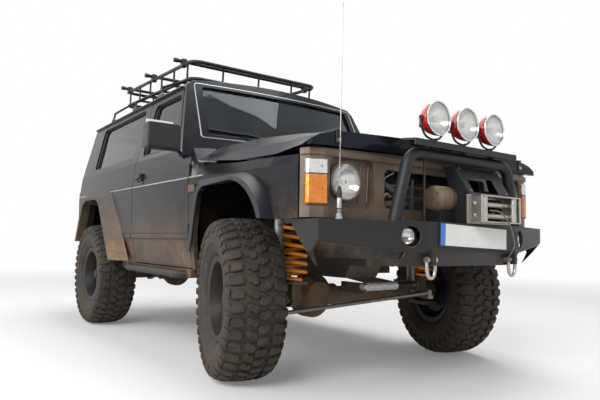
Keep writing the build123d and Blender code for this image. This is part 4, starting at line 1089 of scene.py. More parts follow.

# %% [markdown]
# Every lamp is made as it works: a mirror bowl, a bulb with its cap, and a clear moulded lens in
# front, so that it is dark or bright by what it reflects. The corner lamp is one wedge in two
# colours with a black joint between them, and has a folded mirror and two bulbs inside; these two
# bulbs are plain white enamel, a painted highlight for the lamp's bright glints.

# %% Lamps
HEAD_LAMP = (0.656, 0.628, 1.008)
HEAD_RADIUS = 0.083
CORNER_PLAN = ((0.6605, 0.744), (0.668, 0.746), (0.668, 0.767), (0.641, 0.832),
               (0.6205, 0.8425), (0.6205, 0.8295), (0.6355, 0.8235), (0.6605, 0.7635))
CORNER_MIRROR = ((0.6612, 0.746), (0.6612, 0.764), (0.6362, 0.8243), (0.6212, 0.8303),
                 (0.6222, 0.8325), (0.6374, 0.8265), (0.6628, 0.765), (0.6628, 0.746))
CORNER_BULB = [(0, -0.003), (0.006, -0.002), (0.0085, 0.003), (0.007, 0.008), (0.004, 0.0105),
               (0, 0.011)]
HEAD_BULB = [(0, -0.012), (0.012, -0.014), (0.013, -0.03), (0.009, -0.055), (0, -0.055)]
BUCKET = [(0.0845, -0.034), (0.0915, -0.034), (0.0915, 0), (0.0845, 0), (0.0845, -0.034)]
TAIL_X, TAIL_SEAT_X, TAIL_Y = (-3.022, -3.000), (-3.012, -3.001), (0.831, 0.877)


def add_lens(shape, radius, bulge, place, direction, steps=48):
    """A shallow moulded dome with a real thickness."""
    front = [(radius * share, bulge * (1 - share * share))
             for share in (0.0, 0.35, 0.65, 0.88, 1.0)]
    back = [(r, height - 0.003) for r, height in reversed(front)]
    add_turned(shape, front + back, place, direction, steps)


def add_bowl(shape, radius, depth, place, direction, steps=48):
    """A mirror bowl open to the front."""
    inner = [(radius * share, -depth * (1 - share * share))
             for share in (1.0, 0.85, 0.65, 0.42, 0.2, 0.0)]
    outer = [(r, height - 0.003) for r, height in reversed(inner)]
    add_turned(shape, inner + outer + inner[:1], place, direction, steps)


def add_ring(shape, radius, width, place, direction, steps=48, lift=0.0):
    """A rounded trim ring."""
    section = [(radius + width * 0.5 * math.cos(a), lift + width * 0.5 * math.sin(a))
               for a in around(8)]
    add_turned(shape, section + section[:1], place, direction, steps)


bowls, glasses, rings, ambers, clears, reds, joints, glint_bulbs = shapes(8)
for side in (-1, 1):
    x, y, z = HEAD_LAMP
    place = spot(x, side * y, z)
    add_bowl(bowls, HEAD_RADIUS, 0.060, place, FORWARD)
    add_turned(bowls, HEAD_BULB, place, FORWARD, 20)
    add_lens(glasses, HEAD_RADIUS + 0.001, 0.016, place, FORWARD)
    add_ring(rings, HEAD_RADIUS + 0.0045, 0.010, place, FORWARD)
    add_turned(rings, BUCKET, place, FORWARD)
    add_prism(bowls, [(px, side * py) for px, py in CORNER_MIRROR], 0.902, 1.096)
    # The corner bulbs are plain white enamel, a painted highlight for the lamp's two glints.
    for bulb_z in (0.965, 1.066):
        add_turned(glint_bulbs, CORNER_BULB, spot(0.6535, side * 0.7725, bulb_z), FORWARD, 16)
    plan = [(px, side * py) for px, py in CORNER_PLAN]
    for shape, low, high in ((clears, 1.035, 1.100), (ambers, 0.898, 1.031),
                             (joints, 1.031, 1.035), (joints, 0.895, 0.898)):
        add_prism(shape, plan, low, high)
    tail_y = [side * y for y in TAIL_Y]
    for shape, *reach in ((reds, 0.930, 1.006), (ambers, 1.009, 1.080), (clears, 1.083, 1.112),
                          (reds, 1.115, 1.160)):
        add_box(shape, TAIL_X, tail_y, reach)
    add_box(joints, TAIL_SEAT_X, tail_y, (0.932, 1.158))
assembly("head_corner_tail_lamps", "lamp_lens", (
    (bowls, chrome), (rings, nose_paint), (joints, seal_black), (glint_bulbs, white_plate),
    (glasses, clear_lens), (clears, clear_lens), (ambers, amber_lens), (reds, brake_red)),
    "road_lamps")

LAMP_X, LAMP_Z, LAMP_STEP = 0.848, 1.329, 0.218
SHELL = [(0, -0.092), (0.030, -0.089), (0.048, -0.080), (0.068, -0.055), (0.080, -0.026),
         (0.085, -0.004), (0.082, -0.004), (0.077, -0.024), (0.066, -0.050), (0.047, -0.074),
         (0, -0.084)]
ROUND_BULB = [(0, -0.006), (0.014, -0.010), (0.015, -0.028), (0.010, -0.055), (0, -0.055)]
STRAP_FOOT = [(0, -0.004), (0.022, -0.004), (0.022, 0.003), (0.008, 0.005), (0.008, 0.014),
              (0, 0.014)]
shells, rims, bowls, glasses, straps = shapes(5)
for y in (-LAMP_STEP, 0.0, LAMP_STEP):
    place = spot(LAMP_X, y, LAMP_Z)
    add_turned(shells, SHELL, place, FORWARD, 56)
    add_ring(rims, 0.0815, 0.009, place, FORWARD, 56, 0.003)
    add_bowl(bowls, 0.078, 0.062, place, FORWARD, 56)
    add_turned(bowls, ROUND_BULB, place, FORWARD, 20)
    add_lens(glasses, 0.078, 0.012, place, FORWARD, 56)
    strap_x = LAMP_X - 0.036
    for side in (-1, 1):
        line = ((0, 0.100), (0.05, 0.085), (0.078, 0.045), (0.081, 0))
        add_bar(straps, curved([spot(strap_x, y + side * out, LAMP_Z - down)
                                for out, down in line], 4), 0.0055, 8)
        add_pin(straps, 0.011, -0.004, 0.006, spot(strap_x, y + side * 0.081, LAMP_Z),
                (0, side, 0), 12)
    add_turned(straps, STRAP_FOOT, spot(strap_x, y, LAMP_Z - 0.108), UP, 20)
    add_box(straps, (LAMP_X - 0.105, LAMP_X - 0.080), (y - 0.022, y + 0.022),
            (LAMP_Z - 0.030, LAMP_Z + 0.030))
assembly("round_driving_lamps", "lamp_shell", (
    (shells, shell_red), (rims, chrome), (bowls, chrome), (glasses, clear_lens),
    (straps, powder_black)), "driving_lamps")

BUMPER_LEAN = math.atan2(0.885 - 0.724, 0.842 - 0.335)
FOG_Z, FOG_RADIUS = 0.762, 0.036
POT = [(0, -0.062), (0.030, -0.058), (0.039, -0.03), (0.040, 0.001), (0.037, 0.001),
       (0.036, -0.03), (0, -0.05)]
bowls, glasses, pots = shapes(3)
for side in (-1, 1):
    ahead = (math.cos(BUMPER_LEAN), side * math.sin(BUMPER_LEAN), 0)
    place = spot(0.842, side * 0.424, FOG_Z)
    add_bowl(bowls, FOG_RADIUS, 0.028, place, ahead, 32)
    add_lens(glasses, FOG_RADIUS, 0.007, place, ahead, 32)
    add_turned(pots, POT, place, ahead, 32)
    add_bar(pots, [spot(0.815, side * 0.415, z) for z in (0.795, 0.8205)], 0.008, 8)
    add_ring(pots, 0.0495, 0.006, spot(0.8595, side * 0.418, FOG_Z), ahead, 40)
assembly("fog_lamps", "black_steel", ((bowls, chrome), (glasses, clear_lens),
                                      (pots, powder_black)))

MARKER_X, MARKER_Y, MARKER_Z = (-0.486, -0.398), 0.886, (1.013, 1.054)
markers, frames = shapes(2)
for side in (-1, 1):
    for shape, proud, rim in ((markers, 0.009, 0.0), (frames, 0.006, 0.004)):
        add_box(shape, (MARKER_X[0] - rim, MARKER_X[1] + rim),
                (side * MARKER_Y - proud, side * MARKER_Y + proud),
                (MARKER_Z[0] - rim, MARKER_Z[1] + rim))
assembly("side_markers", "lamp_lens", ((markers, amber_lens, 0.004), (frames, seal_black, 0.002)))
print("lamps done")

# %% [markdown]
# Over the lamps the nose panel stands proud in a band that wraps round its corners, and two
# pressed ribs stiffen each lamp pocket. Through the open grille show the cooler's ribbed pipes,
# its hoses and a few brackets, all brown with road dust.

# %% Band, ribs and what shows through the grille
BAND_HEIGHTS = (1.118, 1.147)
BAND_END = ((0.655, 0.766), (0.668, 0.767), (0.642, 0.831), (0.592, 0.848), (0.586, 0.842),
            (0.636, 0.823))
band, pipes, hoses, cables, rib = shapes(5)
for side in (-1, 1):
    add_prism(band, [(x, side * y) for x, y in BAND_END], *BAND_HEIGHTS)
add_box(band, (0.655, 0.668), (-0.768, 0.768), BAND_HEIGHTS)
for side in (-1, 1):
    for y in (0.528, 0.478):
        line = ((0.006, 0.915), (0.0, 1.010), (-0.004, 1.095))
        add_bar(band, [spot(0.634, side * (y + lean), z) for lean, z in line], 0.0055, 8)
finish_piece(solid(band, "nose_band", nose_paint, 0.003), "nose_paint")

PIPE_X, PIPE_HEIGHTS = 0.585, (0.965, 1.020)
add_turned(rib, [(0.010, -0.0015), (0.016, -0.0015), (0.016, 0.0015), (0.010, 0.0015),
                 (0.010, -0.0015)], spot(PIPE_X, -0.372, PIPE_HEIGHTS[0]), LEFT, 16)
ribs = repeated(row_of_copies, rib, "cooler ribs", dull_steel, Count=36,
                Step=Vector((0, 0.0065, 0)))
for z in PIPE_HEIGHTS:
    add_bar(pipes, [spot(PIPE_X, -0.385, z), spot(PIPE_X, 0.10, z)], 0.0105)
for y in (-0.380, -0.135):
    add_box(pipes, (0.566, 0.604), (y - 0.008, y + 0.008), (0.905, 1.060))
for shape, radius, sides, line in (
        (hoses, 0.015, 12, ((0.600, -0.375, 1.055), (0.612, -0.330, 1.010), (0.600, -0.250, 0.985),
                            (0.560, -0.160, 1.000), (0.520, -0.100, 1.050))),
        (hoses, 0.018, 12, ((0.610, -0.370, 0.915), (0.612, -0.290, 0.925), (0.590, -0.190, 0.925),
                            (0.540, -0.120, 0.960))),
        (cables, 0.005, 8, ((0.606, -0.384, 0.925), (0.616, -0.365, 0.945), (0.612, -0.330, 0.975),
                            (0.600, -0.290, 0.960))),
        (cables, 0.004, 8, ((0.630, -0.300, 1.078), (0.618, -0.345, 1.050),
                            (0.612, -0.375, 1.000)))):
    add_bar(shape, curved([spot(*place) for place in line]), radius, sides)
assembly("cooler_pipes", "bare_steel", ((pipes, dull_steel), (hoses, hidden_crust),
                                        (cables, damper_pale)), ready=[ribs])
print("nose details done")

# %% [markdown]
# The plate at the front is blank: white with a plain blue band, held in a black frame.

# %% Number plate
PLATE_Z, FRAME_Z, FRAME_Y = (0.715, 0.817), (0.708, 0.7145, 0.8175, 0.824), 0.262
PLATE_ROLL = Matrix.Rotation(math.radians(-2.1), 4, "X")
PLATE_MIDDLE = spot(0, 0, 0.766)
sheet, stripe, rim = shapes(3)
add_box(sheet, (0.887, 0.8895), (-0.220, 0.255), PLATE_Z)
add_box(stripe, (0.887, 0.8897), (-0.255, -0.2205), PLATE_Z)
add_box(rim, (0.8855, 0.8875), (-FRAME_Y, FRAME_Y), (FRAME_Z[0], FRAME_Z[3]))
for ys, zs in (((-FRAME_Y, FRAME_Y), FRAME_Z[:2]), ((-FRAME_Y, FRAME_Y), FRAME_Z[2:]),
               ((-FRAME_Y, -0.2555), FRAME_Z[1:3]), ((0.2555, FRAME_Y), FRAME_Z[1:3])):
    add_box(rim, (0.8875, 0.891), ys, zs)
for shape in (sheet, stripe, rim):
    bmesh.ops.rotate(shape, verts=shape.verts, cent=PLATE_MIDDLE, matrix=PLATE_ROLL)
assembly("number_plate", "black_steel", ((sheet, white_plate), (stripe, blue_plate),
                                         (rim, seal_black)))
print("plate done")

# %% [markdown]
# The winch sits between the bumper and the radiator: a ribbed motor, a drum wound with wire,
# a gear housing, and over them a slanted control bridge with a window. The fairlead is the
# brightest thing on the front, two upright and two level rollers in worn cheeks. The rope runs
# out between them to the shackle below.

# %% Winch, fairlead, rope and shackles
WINCH_X, WINCH_Z, MOTOR_Y = 0.735, 0.954, -0.142
MOTOR = [(0, -0.004), (0.046, -0.004), (0.058, 0.004), (0.061, 0.016), (0.067, 0.018),
         (0.067, 0.140), (0.063, 0.144), (0.063, 0.170), (0, 0.170)]
GEAR = [(0, 0), (0.063, 0), (0.067, 0.006), (0.067, 0.078), (0.060, 0.084), (0.060, 0.112),
        (0.050, 0.128), (0.018, 0.133), (0, 0.133)]
WRAP_STEPS = 76
WRAPS = [(0.038 + 0.008 * abs(math.sin(math.pi * step / 4)), 0.002 + step * 0.166 / WRAP_STEPS)
         for step in range(WRAP_STEPS + 1)]
motors, gears, wound, bridge, screws, rollers, cheeks, pierced = shapes(8)
add_turned(motors, MOTOR, spot(WINCH_X, MOTOR_Y, WINCH_Z), LEFT)
for y in (-0.118, -0.060, -0.002):
    add_ring(motors, 0.0670, 0.005, spot(WINCH_X, y, WINCH_Z), LEFT)
add_turned(gears, GEAR, spot(WINCH_X, 0.197, WINCH_Z), LEFT)
for angle in (math.radians(60 * turn + 30) for turn in range(6)):
    place = spot(WINCH_X + 0.050 * math.cos(angle), MOTOR_Y, WINCH_Z + 0.050 * math.sin(angle))
    add_pin(screws, 0.006, -0.004, 0.012, place, LEFT, 6)
add_turned(wound, [(0, 0), (0.038, 0), *WRAPS, (0.038, 0.17), (0, 0.17)],
           spot(WINCH_X, 0.028, WINCH_Z), LEFT, 32)
add_box(gears, (0.690, 0.790), (-0.140, 0.330), (0.831, 0.892))

SLOPE_TOP, SLOPE_FOOT, SHEET = (0.785, 1.128), (0.878, 0.975), 0.005
BRIDGE_Y, WINDOW_Y, WINDOW_Z = (-0.024, 0.314), (0.020, 0.225), (0.988, 1.065)
CHEEK = [(0.714, 1.1235), (0.783, 1.1235), (0.874, 0.973), (0.874, 0.832), (0.800, 0.832)]


def slope_x(z):
    """How far forward the bridge's slanted face is at a height."""
    share = (SLOPE_TOP[1] - z) / (SLOPE_TOP[1] - SLOPE_FOOT[1])
    return SLOPE_TOP[0] + (SLOPE_FOOT[0] - SLOPE_TOP[0]) * share


for ys, (low, high) in ((BRIDGE_Y, (WINDOW_Z[1], SLOPE_TOP[1])),
                        (BRIDGE_Y, (SLOPE_FOOT[1], WINDOW_Z[0])),
                        ((BRIDGE_Y[0], WINDOW_Y[0]), WINDOW_Z),
                        ((WINDOW_Y[1], BRIDGE_Y[1]), WINDOW_Z)):
    add_prism(bridge, [(slope_x(low), low), (slope_x(high), high), (slope_x(high) - SHEET, high),
                       (slope_x(low) - SHEET, low)], *ys, "xz")
add_box(bridge, (0.714, 0.7855), BRIDGE_Y, (1.1235, 1.1285))
for y in (BRIDGE_Y[0], BRIDGE_Y[1] - SHEET):
    add_prism(bridge, CHEEK, y, y + SHEET, "xz")
for y in (-0.002, 0.292):
    for z in (1.112, 0.995):
        add_turned(screws, [(0, 0), (0.008, 0), (0.007, 0.005), (0, 0.005)],
                   spot(slope_x(z), y, z), (0.85, 0, 0.52), 6)

UPRIGHT_ROLLER = [(0, -0.063), (0.0165, -0.063), (0.0175, -0.059), (0.0178, -0.02), (0.0162, 0),
                  (0.0178, 0.02), (0.0175, 0.059), (0.0165, 0.063), (0, 0.063)]
LEVEL_ROLLER = [(0, -0.152), (0.0138, -0.152), (0.0142, -0.146), (0.0142, 0.146),
                (0.0138, 0.152), (0, 0.152)]
LEVEL_X, LEVEL_HEIGHTS, CHEEK_X = 0.912, (0.870, 0.928), (0.884, 0.954)
for y in (0.007, 0.244):
    add_turned(rollers, UPRIGHT_ROLLER, spot(0.935, y, 0.902), UP, 28)
for z in LEVEL_HEIGHTS:
    add_turned(rollers, LEVEL_ROLLER, spot(LEVEL_X, 0.1255, z), LEFT, 24)
for y, side in ((-0.030, -1), (0.281, 1)):
    add_box(cheeks, CHEEK_X, (y - 0.007, y + 0.007), (0.839, 0.969))
    for z in LEVEL_HEIGHTS:
        add_turned(cheeks, [(0, 0), (0.011, 0), (0.010, 0.007), (0, 0.007)],
                   spot(LEVEL_X, y + side * 0.007, z), (0, side, 0), 6)
for zs in ((0.837, 0.843), (0.963, 0.970)):
    add_box(cheeks, CHEEK_X, (-0.037, 0.288), zs)
for ys, zs in (((-0.052, 0.302), (0.832, 0.850)), ((-0.052, 0.302), (0.956, 0.974)),
               ((-0.052, 0.022), (0.850, 0.956)), ((0.228, 0.302), (0.850, 0.956))):
    add_box(pierced, (0.875, 0.884), ys, zs)
assembly("winch_and_fairlead", "winch_paint", (
    (motors, motor_bronze), (gears, tube_black), (bridge, tube_black, 0.0015), (wound, rope_wire),
    (screws, dull_steel), (cheeks, bright_steel, 0.002), (pierced, bright_steel, 0.0015),
    (rollers, bright_steel)), "winch")

ROPE = ((0.928, 0.062, 0.898), (0.958, 0.076, 0.897), (0.970, 0.112, 0.880),
        (0.971, 0.158, 0.838), (0.964, 0.199, 0.786), (0.951, 0.230, 0.741),
        (0.930, 0.255, 0.704), (0.892, 0.261, 0.667))
ROPE_RADIUS = 0.004
line = bpy.data.curves.new("winch rope", "CURVE")
line.dimensions = "3D"
strand = line.splines.new("NURBS")
strand.points.add(len(ROPE) - 1)
for point, place in zip(strand.points, ROPE):
    point.co = (*spot(*place), 1.0)
strand.order_u = 3
strand.use_endpoint_u = True
line.bevel_depth = ROPE_RADIUS
line.bevel_resolution = 3
line.resolution_u = 12
line.materials.append(rope_wire)
rope = finish_piece(linked("winch_wire_rope", line), "rope_steel", "winch_rope")
tuple(spot(*ROPE[0]))

SHACKLE_X, SHACKLE_Y, PIN_Z, EYE_OUT = 0.880, 0.312, 0.656, 0.024
BOW = ((-0.024, 0.006), (-0.028, -0.032), (-0.020, -0.070), (0, -0.083), (0.020, -0.070),
       (0.028, -0.032), (0.024, 0.006))
SHACKLE_PIN = [(0, -0.034), (0.0095, -0.034), (0.0095, 0.028), (0.014, 0.028), (0.014, 0.034),
               (0, 0.034)]
ROPE_PIN = [(0, -0.004), (0.012, -0.004), (0.012, 0), (0.0095, 0.002), (0.0095, 0.028),
            (0, 0.028)]
ROPE_EYE = [(0, -0.007), (0.0145, -0.007), (0.0145, -0.004), (0.0125, -0.002), (0.0125, 0.002),
            (0.0145, 0.004), (0.0145, 0.007), (0, 0.007)]
bows, pins = shapes(2)
for side in (-1, 1):
    y = side * SHACKLE_Y
    add_bar(bows, curved([spot(SHACKLE_X, y + across, PIN_Z + up) for across, up in BOW]),
            0.0085, 14)
    for end in (-1, 1):
        add_pin(bows, 0.015, -0.0055, 0.008, spot(SHACKLE_X, y + end * EYE_OUT, PIN_Z),
                (0, end, 0))
    add_turned(pins, SHACKLE_PIN, spot(SHACKLE_X, y, PIN_Z), (0, side, 0), 12)
add_turned(pins, ROPE_PIN, spot(SHACKLE_X, 0.256, PIN_Z), LEFT, 16)
add_turned(pins, ROPE_EYE, spot(SHACKLE_X, 0.263, PIN_Z), LEFT, 24)
assembly("bow_shackles", "bare_steel", ((bows, bright_steel), (pins, dull_steel)), "shackles")
print("winch, rope and shackles done")

# %% [markdown]
# The flares are one moulding in two states: washed over the front wheel and tinted blue there as a
# painted sky reflection, and pale with dried dust in front of the rear one. Every side window
# sits in a rubber seal. Round the bowed windscreen runs a dark printed border instead, with a
# bright strip along its outer edge.

# %% Flares, glass and seals
FLARES_PART = AXLE_X - WHEELBASE / 2
SCREEN_BEHIND = AXLE_X - 1.3
flares = panel("wheel_arch_flares", flare_black_painted_sky, 0.003)
split_material(flares, flare_dusty, lambda centre: centre.x < FLARES_PART)
for node in ("door_glass_right", "door_glass_left", "rear_glass_right", "rear_glass_left"):
    panel(node, side_glass, 0.0)
panes = panel("fixed_glass", side_glass, 0.0)
split_material(panes, screen_glass, lambda centre: centre.x > SCREEN_BEHIND)

SIDE_PROFILE = ((0.550, 0.836), (0.780, 0.876), (1.100, 0.885), (1.300, 0.860), (1.785, 0.740))
SCREEN_TRIM = ((-0.716, 1.398), (-0.692, 1.806), (0.692, 1.806), (0.716, 1.398))
SCREEN_MIDDLE_Z = 1.603
DOOR_WINDOW = ((-0.768, 1.340), (-0.943, 1.728), (-1.400, 1.728), (-1.400, 1.340))
QUARTER_WINDOW = ((-2.640, 1.352), (-2.690, 1.740), (-1.610, 1.740), (-1.600, 1.352))
REAR_WINDOWS = {
    "rear_door_right": ((-0.730, 1.370), (-0.665, 1.700), (0.130, 1.700), (0.130, 1.370)),
    "rear_door_left": ((0.270, 1.370), (0.270, 1.700), (0.665, 1.700), (0.730, 1.370))}
REAR_FACE = -3.001
BELT_Z = 1.333


def side_y(z):
    """Half width of the body's side at a height."""
    for (z0, y0), (z1, y1) in zip(SIDE_PROFILE, SIDE_PROFILE[1:]):
        if z <= z1:
            return y0 + (y1 - y0) * (z - z0) / (z1 - z0)
    return SIDE_PROFILE[-1][1]


def on_screen(y, z, depth):
    """A place behind the windscreen's bowed face by a depth, or ahead of it if negative."""
    bow = 0.050 * (1 - (y / 0.680) ** 2)
    return spot(-0.700 - (z - 1.430) * 0.495 + bow - depth, y, z)


def rounded_outline(corners, radius, step=0.06):
    """A closed outline of 2-D points, its corners rounded and its runs divided."""
    arcs = []
    for index, corner in enumerate(corners):
        here = Vector(corner)
        before = (Vector(corners[index - 1]) - here).normalized()
        after = (Vector(corners[(index + 1) % len(corners)]) - here).normalized()
        start, end = here + before * radius, here + after * radius
        arcs.append([start * (1 - t) ** 2 + here * 2 * t * (1 - t) + end * t * t
                     for t in (0, 0.2, 0.4, 0.6, 0.8, 1)])
    out = []
    for arc, following in zip(arcs, arcs[1:] + arcs[:1]):
        run = following[0] - arc[-1]
        pieces = int(run.length / step) + 1
        out += arc + [arc[-1] + run * part / pieces for part in range(1, pieces)]
    return out


def add_side_seal(shape, corners, side):
    """A rubber seal round a window in the body's side."""
    line = [spot(x, side * (side_y(z) - 0.021), z) for x, z in rounded_outline(corners, 0.045)]
    add_bar(shape, line, 0.008, 8, closed=True)


rubber, bright, border = shapes(3)
outer = rounded_outline(SCREEN_TRIM, 0.022)
inner = [(y * 0.925, SCREEN_MIDDLE_Z + (z - SCREEN_MIDDLE_Z) * 0.90) for y, z in outer]
add_bar(bright, [on_screen(y, z, 0.001) for y, z in outer], 0.0045, 8, closed=True)
loops = [[border.verts.new(on_screen(y, z, depth)) for y, z in line]
         for line, depth in ((outer, 0.001), (outer, -0.0015), (inner, -0.0015), (inner, 0.001))]
add_loft(border, loops + loops[:1], capped=False)
for side in (-1, 1):
    add_side_seal(rubber, QUARTER_WINDOW, side)
assembly("fixed_seals", "black_plastic", ((rubber, seal_black), (bright, catch_steel),
                                          (border, bonnet_black_painted_sky)))
for side, name in SIDES:
    rubber = bmesh.new()
    add_side_seal(rubber, DOOR_WINDOW, side)
    add_bar(rubber, [spot(x, side * (side_y(BELT_Z) - 0.004), BELT_Z)
                     for x in (-0.800, -1.100, -1.400)], 0.006, 8)
    finish_piece(solid(rubber, "door_seal_" + name, seal_black), "black_plastic",
                 body="door_" + name)
for body, corners in REAR_WINDOWS.items():
    rubber = bmesh.new()
    add_bar(rubber, [spot(REAR_FACE, y, z) for y, z in rounded_outline(corners, 0.04)],
            0.009, 8, closed=True)
    finish_piece(solid(rubber, body + "_seal", seal_black), "black_plastic", body=body)
print("glass and seals done")

# %% [markdown]
# Along the crease of the side runs a thin bright steel strip, cut where the door opens, which
# stands in for the crease's highlight as a painted highlight, and low on the flank a blunt black
# moulding. Both lie on the side's own face.

# %% Strips on the flank
CREASE_RUNS = {"fixed_": ((-2.960, -1.508), (-0.492, -0.300)), "door_": ((-1.492, -0.508),)}
MOULDING_RUNS = {"fixed_": (-1.640, -1.508), "door_": (-1.492, -0.508)}
for side, name in SIDES:
    for owner, body in (("fixed_", "chassis"), ("door_", "door_" + name)):
        crease_highlight_strip, blunt = shapes(2)
        # The bright strip on the crease is a painted highlight.
        for run in CREASE_RUNS[owner]:
            add_bar(crease_highlight_strip, [spot(x, side * 0.8855, 1.102 - 0.006 * (x + 0.5)) for x in run],
                    0.0045, 8)
        add_box(blunt, MOULDING_RUNS[owner], (side * 0.872, side * 0.884), (0.735, 0.768))
        assembly("flank_strips_" + owner + name, "black_plastic",
                 ((crease_highlight_strip, catch_steel), (blunt, body_black, 0.005)), body=body)
print("flank strips done")

# %% [markdown]
# Small things that hands use sit on the doors: a grained mirror head with its silvered glass, a
# flap handle with a lock below, hinges in the shut line. Each door has its own mesh of them,
# because they swing with it.

# %% Mirrors, handles and hinges
MIRROR_ARM_Y = 0.903
HANDLE = [(-1.413, 1.176), (-1.400, 1.199), (-1.330, 1.199), (-1.316, 1.190), (-1.316, 1.168),
          (-1.400, 1.160)]
LOCK = [(0, -0.002), (0.011, -0.002), (0.011, 0.004), (0.008, 0.006), (0, 0.006)]
for side, name in SIDES:
    split_material(skins["door_" + name], mirror_black,
                   lambda centre: abs(centre.y) > MIRROR_ARM_Y)
    silver, grips, dark = shapes(3)
    add_box(silver, (-0.668, -0.6655), (side * 0.925, side * 1.100), (1.325, 1.462))
    add_bar(dark, [spot(-0.5745, side * y, 1.428) for y in (0.922, 1.00, 1.103)], 0.0025, 6)
    add_box(dark, (-1.425, -1.305), (side * 0.8805, side * 0.890), (1.150, 1.205))
    add_prism(grips, HANDLE, side * 0.888, side * 0.904, "xz")
    add_turned(grips, LOCK, spot(-1.290, side * 0.882, 1.135), (0, side, 0), 20)
    for z in (0.78, 1.14):
        add_bar(grips, [spot(-0.5015, side * (side_y(z) + 0.004), z + step)
                        for step in (-0.045, 0.045)], 0.009)
    assembly("door_details_" + name, "black_plastic",
             ((silver, chrome), (grips, trim_black, 0.003), (dark, seal_black, 0.001)),
             body="door_" + name)
print("doors done")

# %% [markdown]
# The wipers lie across the foot of the screen. The bonnet is held down by two catches with
# bright screws. At the back are the hinges of both doors, a handle, and a blank plate.

# %% Wipers, catches and rear hardware
PIVOT_CAP = [(0, -0.035), (0.012, -0.035), (0.013, 0.006), (0, 0.010)]
BLADE_Z = 1.437
arms = bmesh.new()
for pivot_y, pivot_z, tip_y, tip_z, bend_y, bend_z in (
        (-0.20, 1.405, -0.66, 1.462, -0.42, 1.452), (0.45, 1.405, -0.02, 1.462, 0.22, 1.455)):
    foot = on_screen(pivot_y, pivot_z, -0.030)
    add_turned(arms, PIVOT_CAP, foot, (0.9, 0, 0.43), 16)
    add_bar(arms, curved([foot, on_screen(pivot_y - 0.08, 1.43, -0.032),
                          on_screen(bend_y, bend_z, -0.022)], 5), 0.005, 8)
    for depth, radius in ((0.006, 0.007), (-0.006, 0.004)):
        add_bar(arms, [on_screen(pivot_y + (tip_y - pivot_y) * share,
                                 BLADE_Z + (tip_z - BLADE_Z) * share, depth)
                       for share in (0.0, 0.25, 0.5, 0.75, 1.0)], radius, 8)
finish_piece(solid(arms, "wipers", seal_black), "black_plastic")

catches, screws = shapes(2)
for y in (-0.700, 0.700):
    catch_y = (y - 0.016, y + 0.016)
    add_box(catches, (0.6825, 0.688), catch_y, (1.172, 1.226))
    add_box(catches, (0.640, 0.688), catch_y, (1.2285, 1.2355))
    add_turned(screws, [(0, 0), (0.010, 0), (0.009, 0.005), (0, 0.006)], spot(0.688, y, 1.188),
               FORWARD, 16)
assembly("bonnet_catches", "black_plastic", ((catches, seal_black, 0.002), (screws, catch_steel)),
         body="bonnet")

REAR_HANDLE = [(0.245, 1.212), (0.245, 1.234), (0.330, 1.234), (0.335, 1.222), (0.330, 1.212)]
for side, name in SIDES:
    iron, dark, sheet = shapes(3)
    for z in (0.86, 1.26, 1.62):
        y = side * (side_y(z) - 0.075)
        add_bar(iron, [spot(-3.008, y, z - 0.04), spot(-3.008, y, z + 0.04)], 0.010)
        add_box(iron, (-3.009, REAR_FACE), (y, y - side * 0.07), (z - 0.018, z + 0.018))
    if name == "left":
        add_box(dark, (-3.008, REAR_FACE), (0.235, 0.345), (1.20, 1.245))
        add_prism(iron, REAR_HANDLE, -3.022, -3.008, "yz")
        add_box(sheet, (-3.0075, -3.0055), (0.240, 0.720), (0.905, 1.010))
        add_box(dark, (-3.0055, REAR_FACE), (0.233, 0.727), (0.898, 1.017))
    assembly(f"rear_door_{name}_details", "black_plastic", (
        (iron, trim_black, 0.002), (dark, seal_black), (sheet, white_plate)),
        body="rear_door_" + name)
print("wipers, catches and rear hardware done")

# %% [markdown]
# The aerial is a steel whip on a turned silver base with a black ring and cap. The roof rack
# keeps its tubes and gets bolts where it grips the gutters, and three cross bars that reach over
# its rails.

# %% Aerial and roof rack
base, sleeve, whip, bolts, bars, ends = shapes(6)
low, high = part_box("aerial")
BASE_RADIUS, WHIP_FOOT = 0.019, Vector((0, 0, 0.145))
foot = Vector((low.x + BASE_RADIUS, (low.y + high.y) / 2, low.z))
tip = Vector((foot.x + 0.014, foot.y + 0.006, high.z - 0.001))
for shape, steps, profile in (
        (base, 28, [(0, 0.001), (BASE_RADIUS, 0.001), (BASE_RADIUS, 0.010), (0.0165, 0.013),
                    (0.0165, 0.024), (0.012, 0.024), (0.012, 0.036), (0.0135, 0.038),
                    (0.0135, 0.044), (0, 0.044)]),
        (base, 28, [(0, 0.050), (0.0125, 0.050), (0.0125, 0.092), (0.011, 0.096), (0, 0.096)]),
        (sleeve, 24, [(0, 0.044), (0.0130, 0.044), (0.0130, 0.050), (0, 0.050)]),
        (sleeve, 24, [(0, 0.096), (0.0120, 0.096), (0.0125, 0.118), (0.0095, 0.136),
                      (0.006, 0.150), (0, 0.150)])):
    add_turned(shape, profile, foot, UP, steps)
add_bar(whip, [foot + WHIP_FOOT, tip], 0.0022, 10)
assembly("whip_aerial", "black_plastic", ((base, catch_steel), (sleeve, seal_black),
                                          (whip, bright_steel)), "aerial")

panel("roof_rack", tube_black, 0.0, 50.0)
BOLT = [(0, 0), (0.009, 0), (0.009, 0.007), (0.005, 0.007), (0.005, 0.012), (0, 0.012)]
for x in (-1.330, -1.900, -2.460):
    for side in (-1, 1):
        for step in (0.022, -0.022):
            add_turned(bolts, BOLT, spot(x + step, side * 0.750, 1.805), UP, 6)
finish_piece(solid(bolts, "rack_bolts", dull_steel), "black_steel")

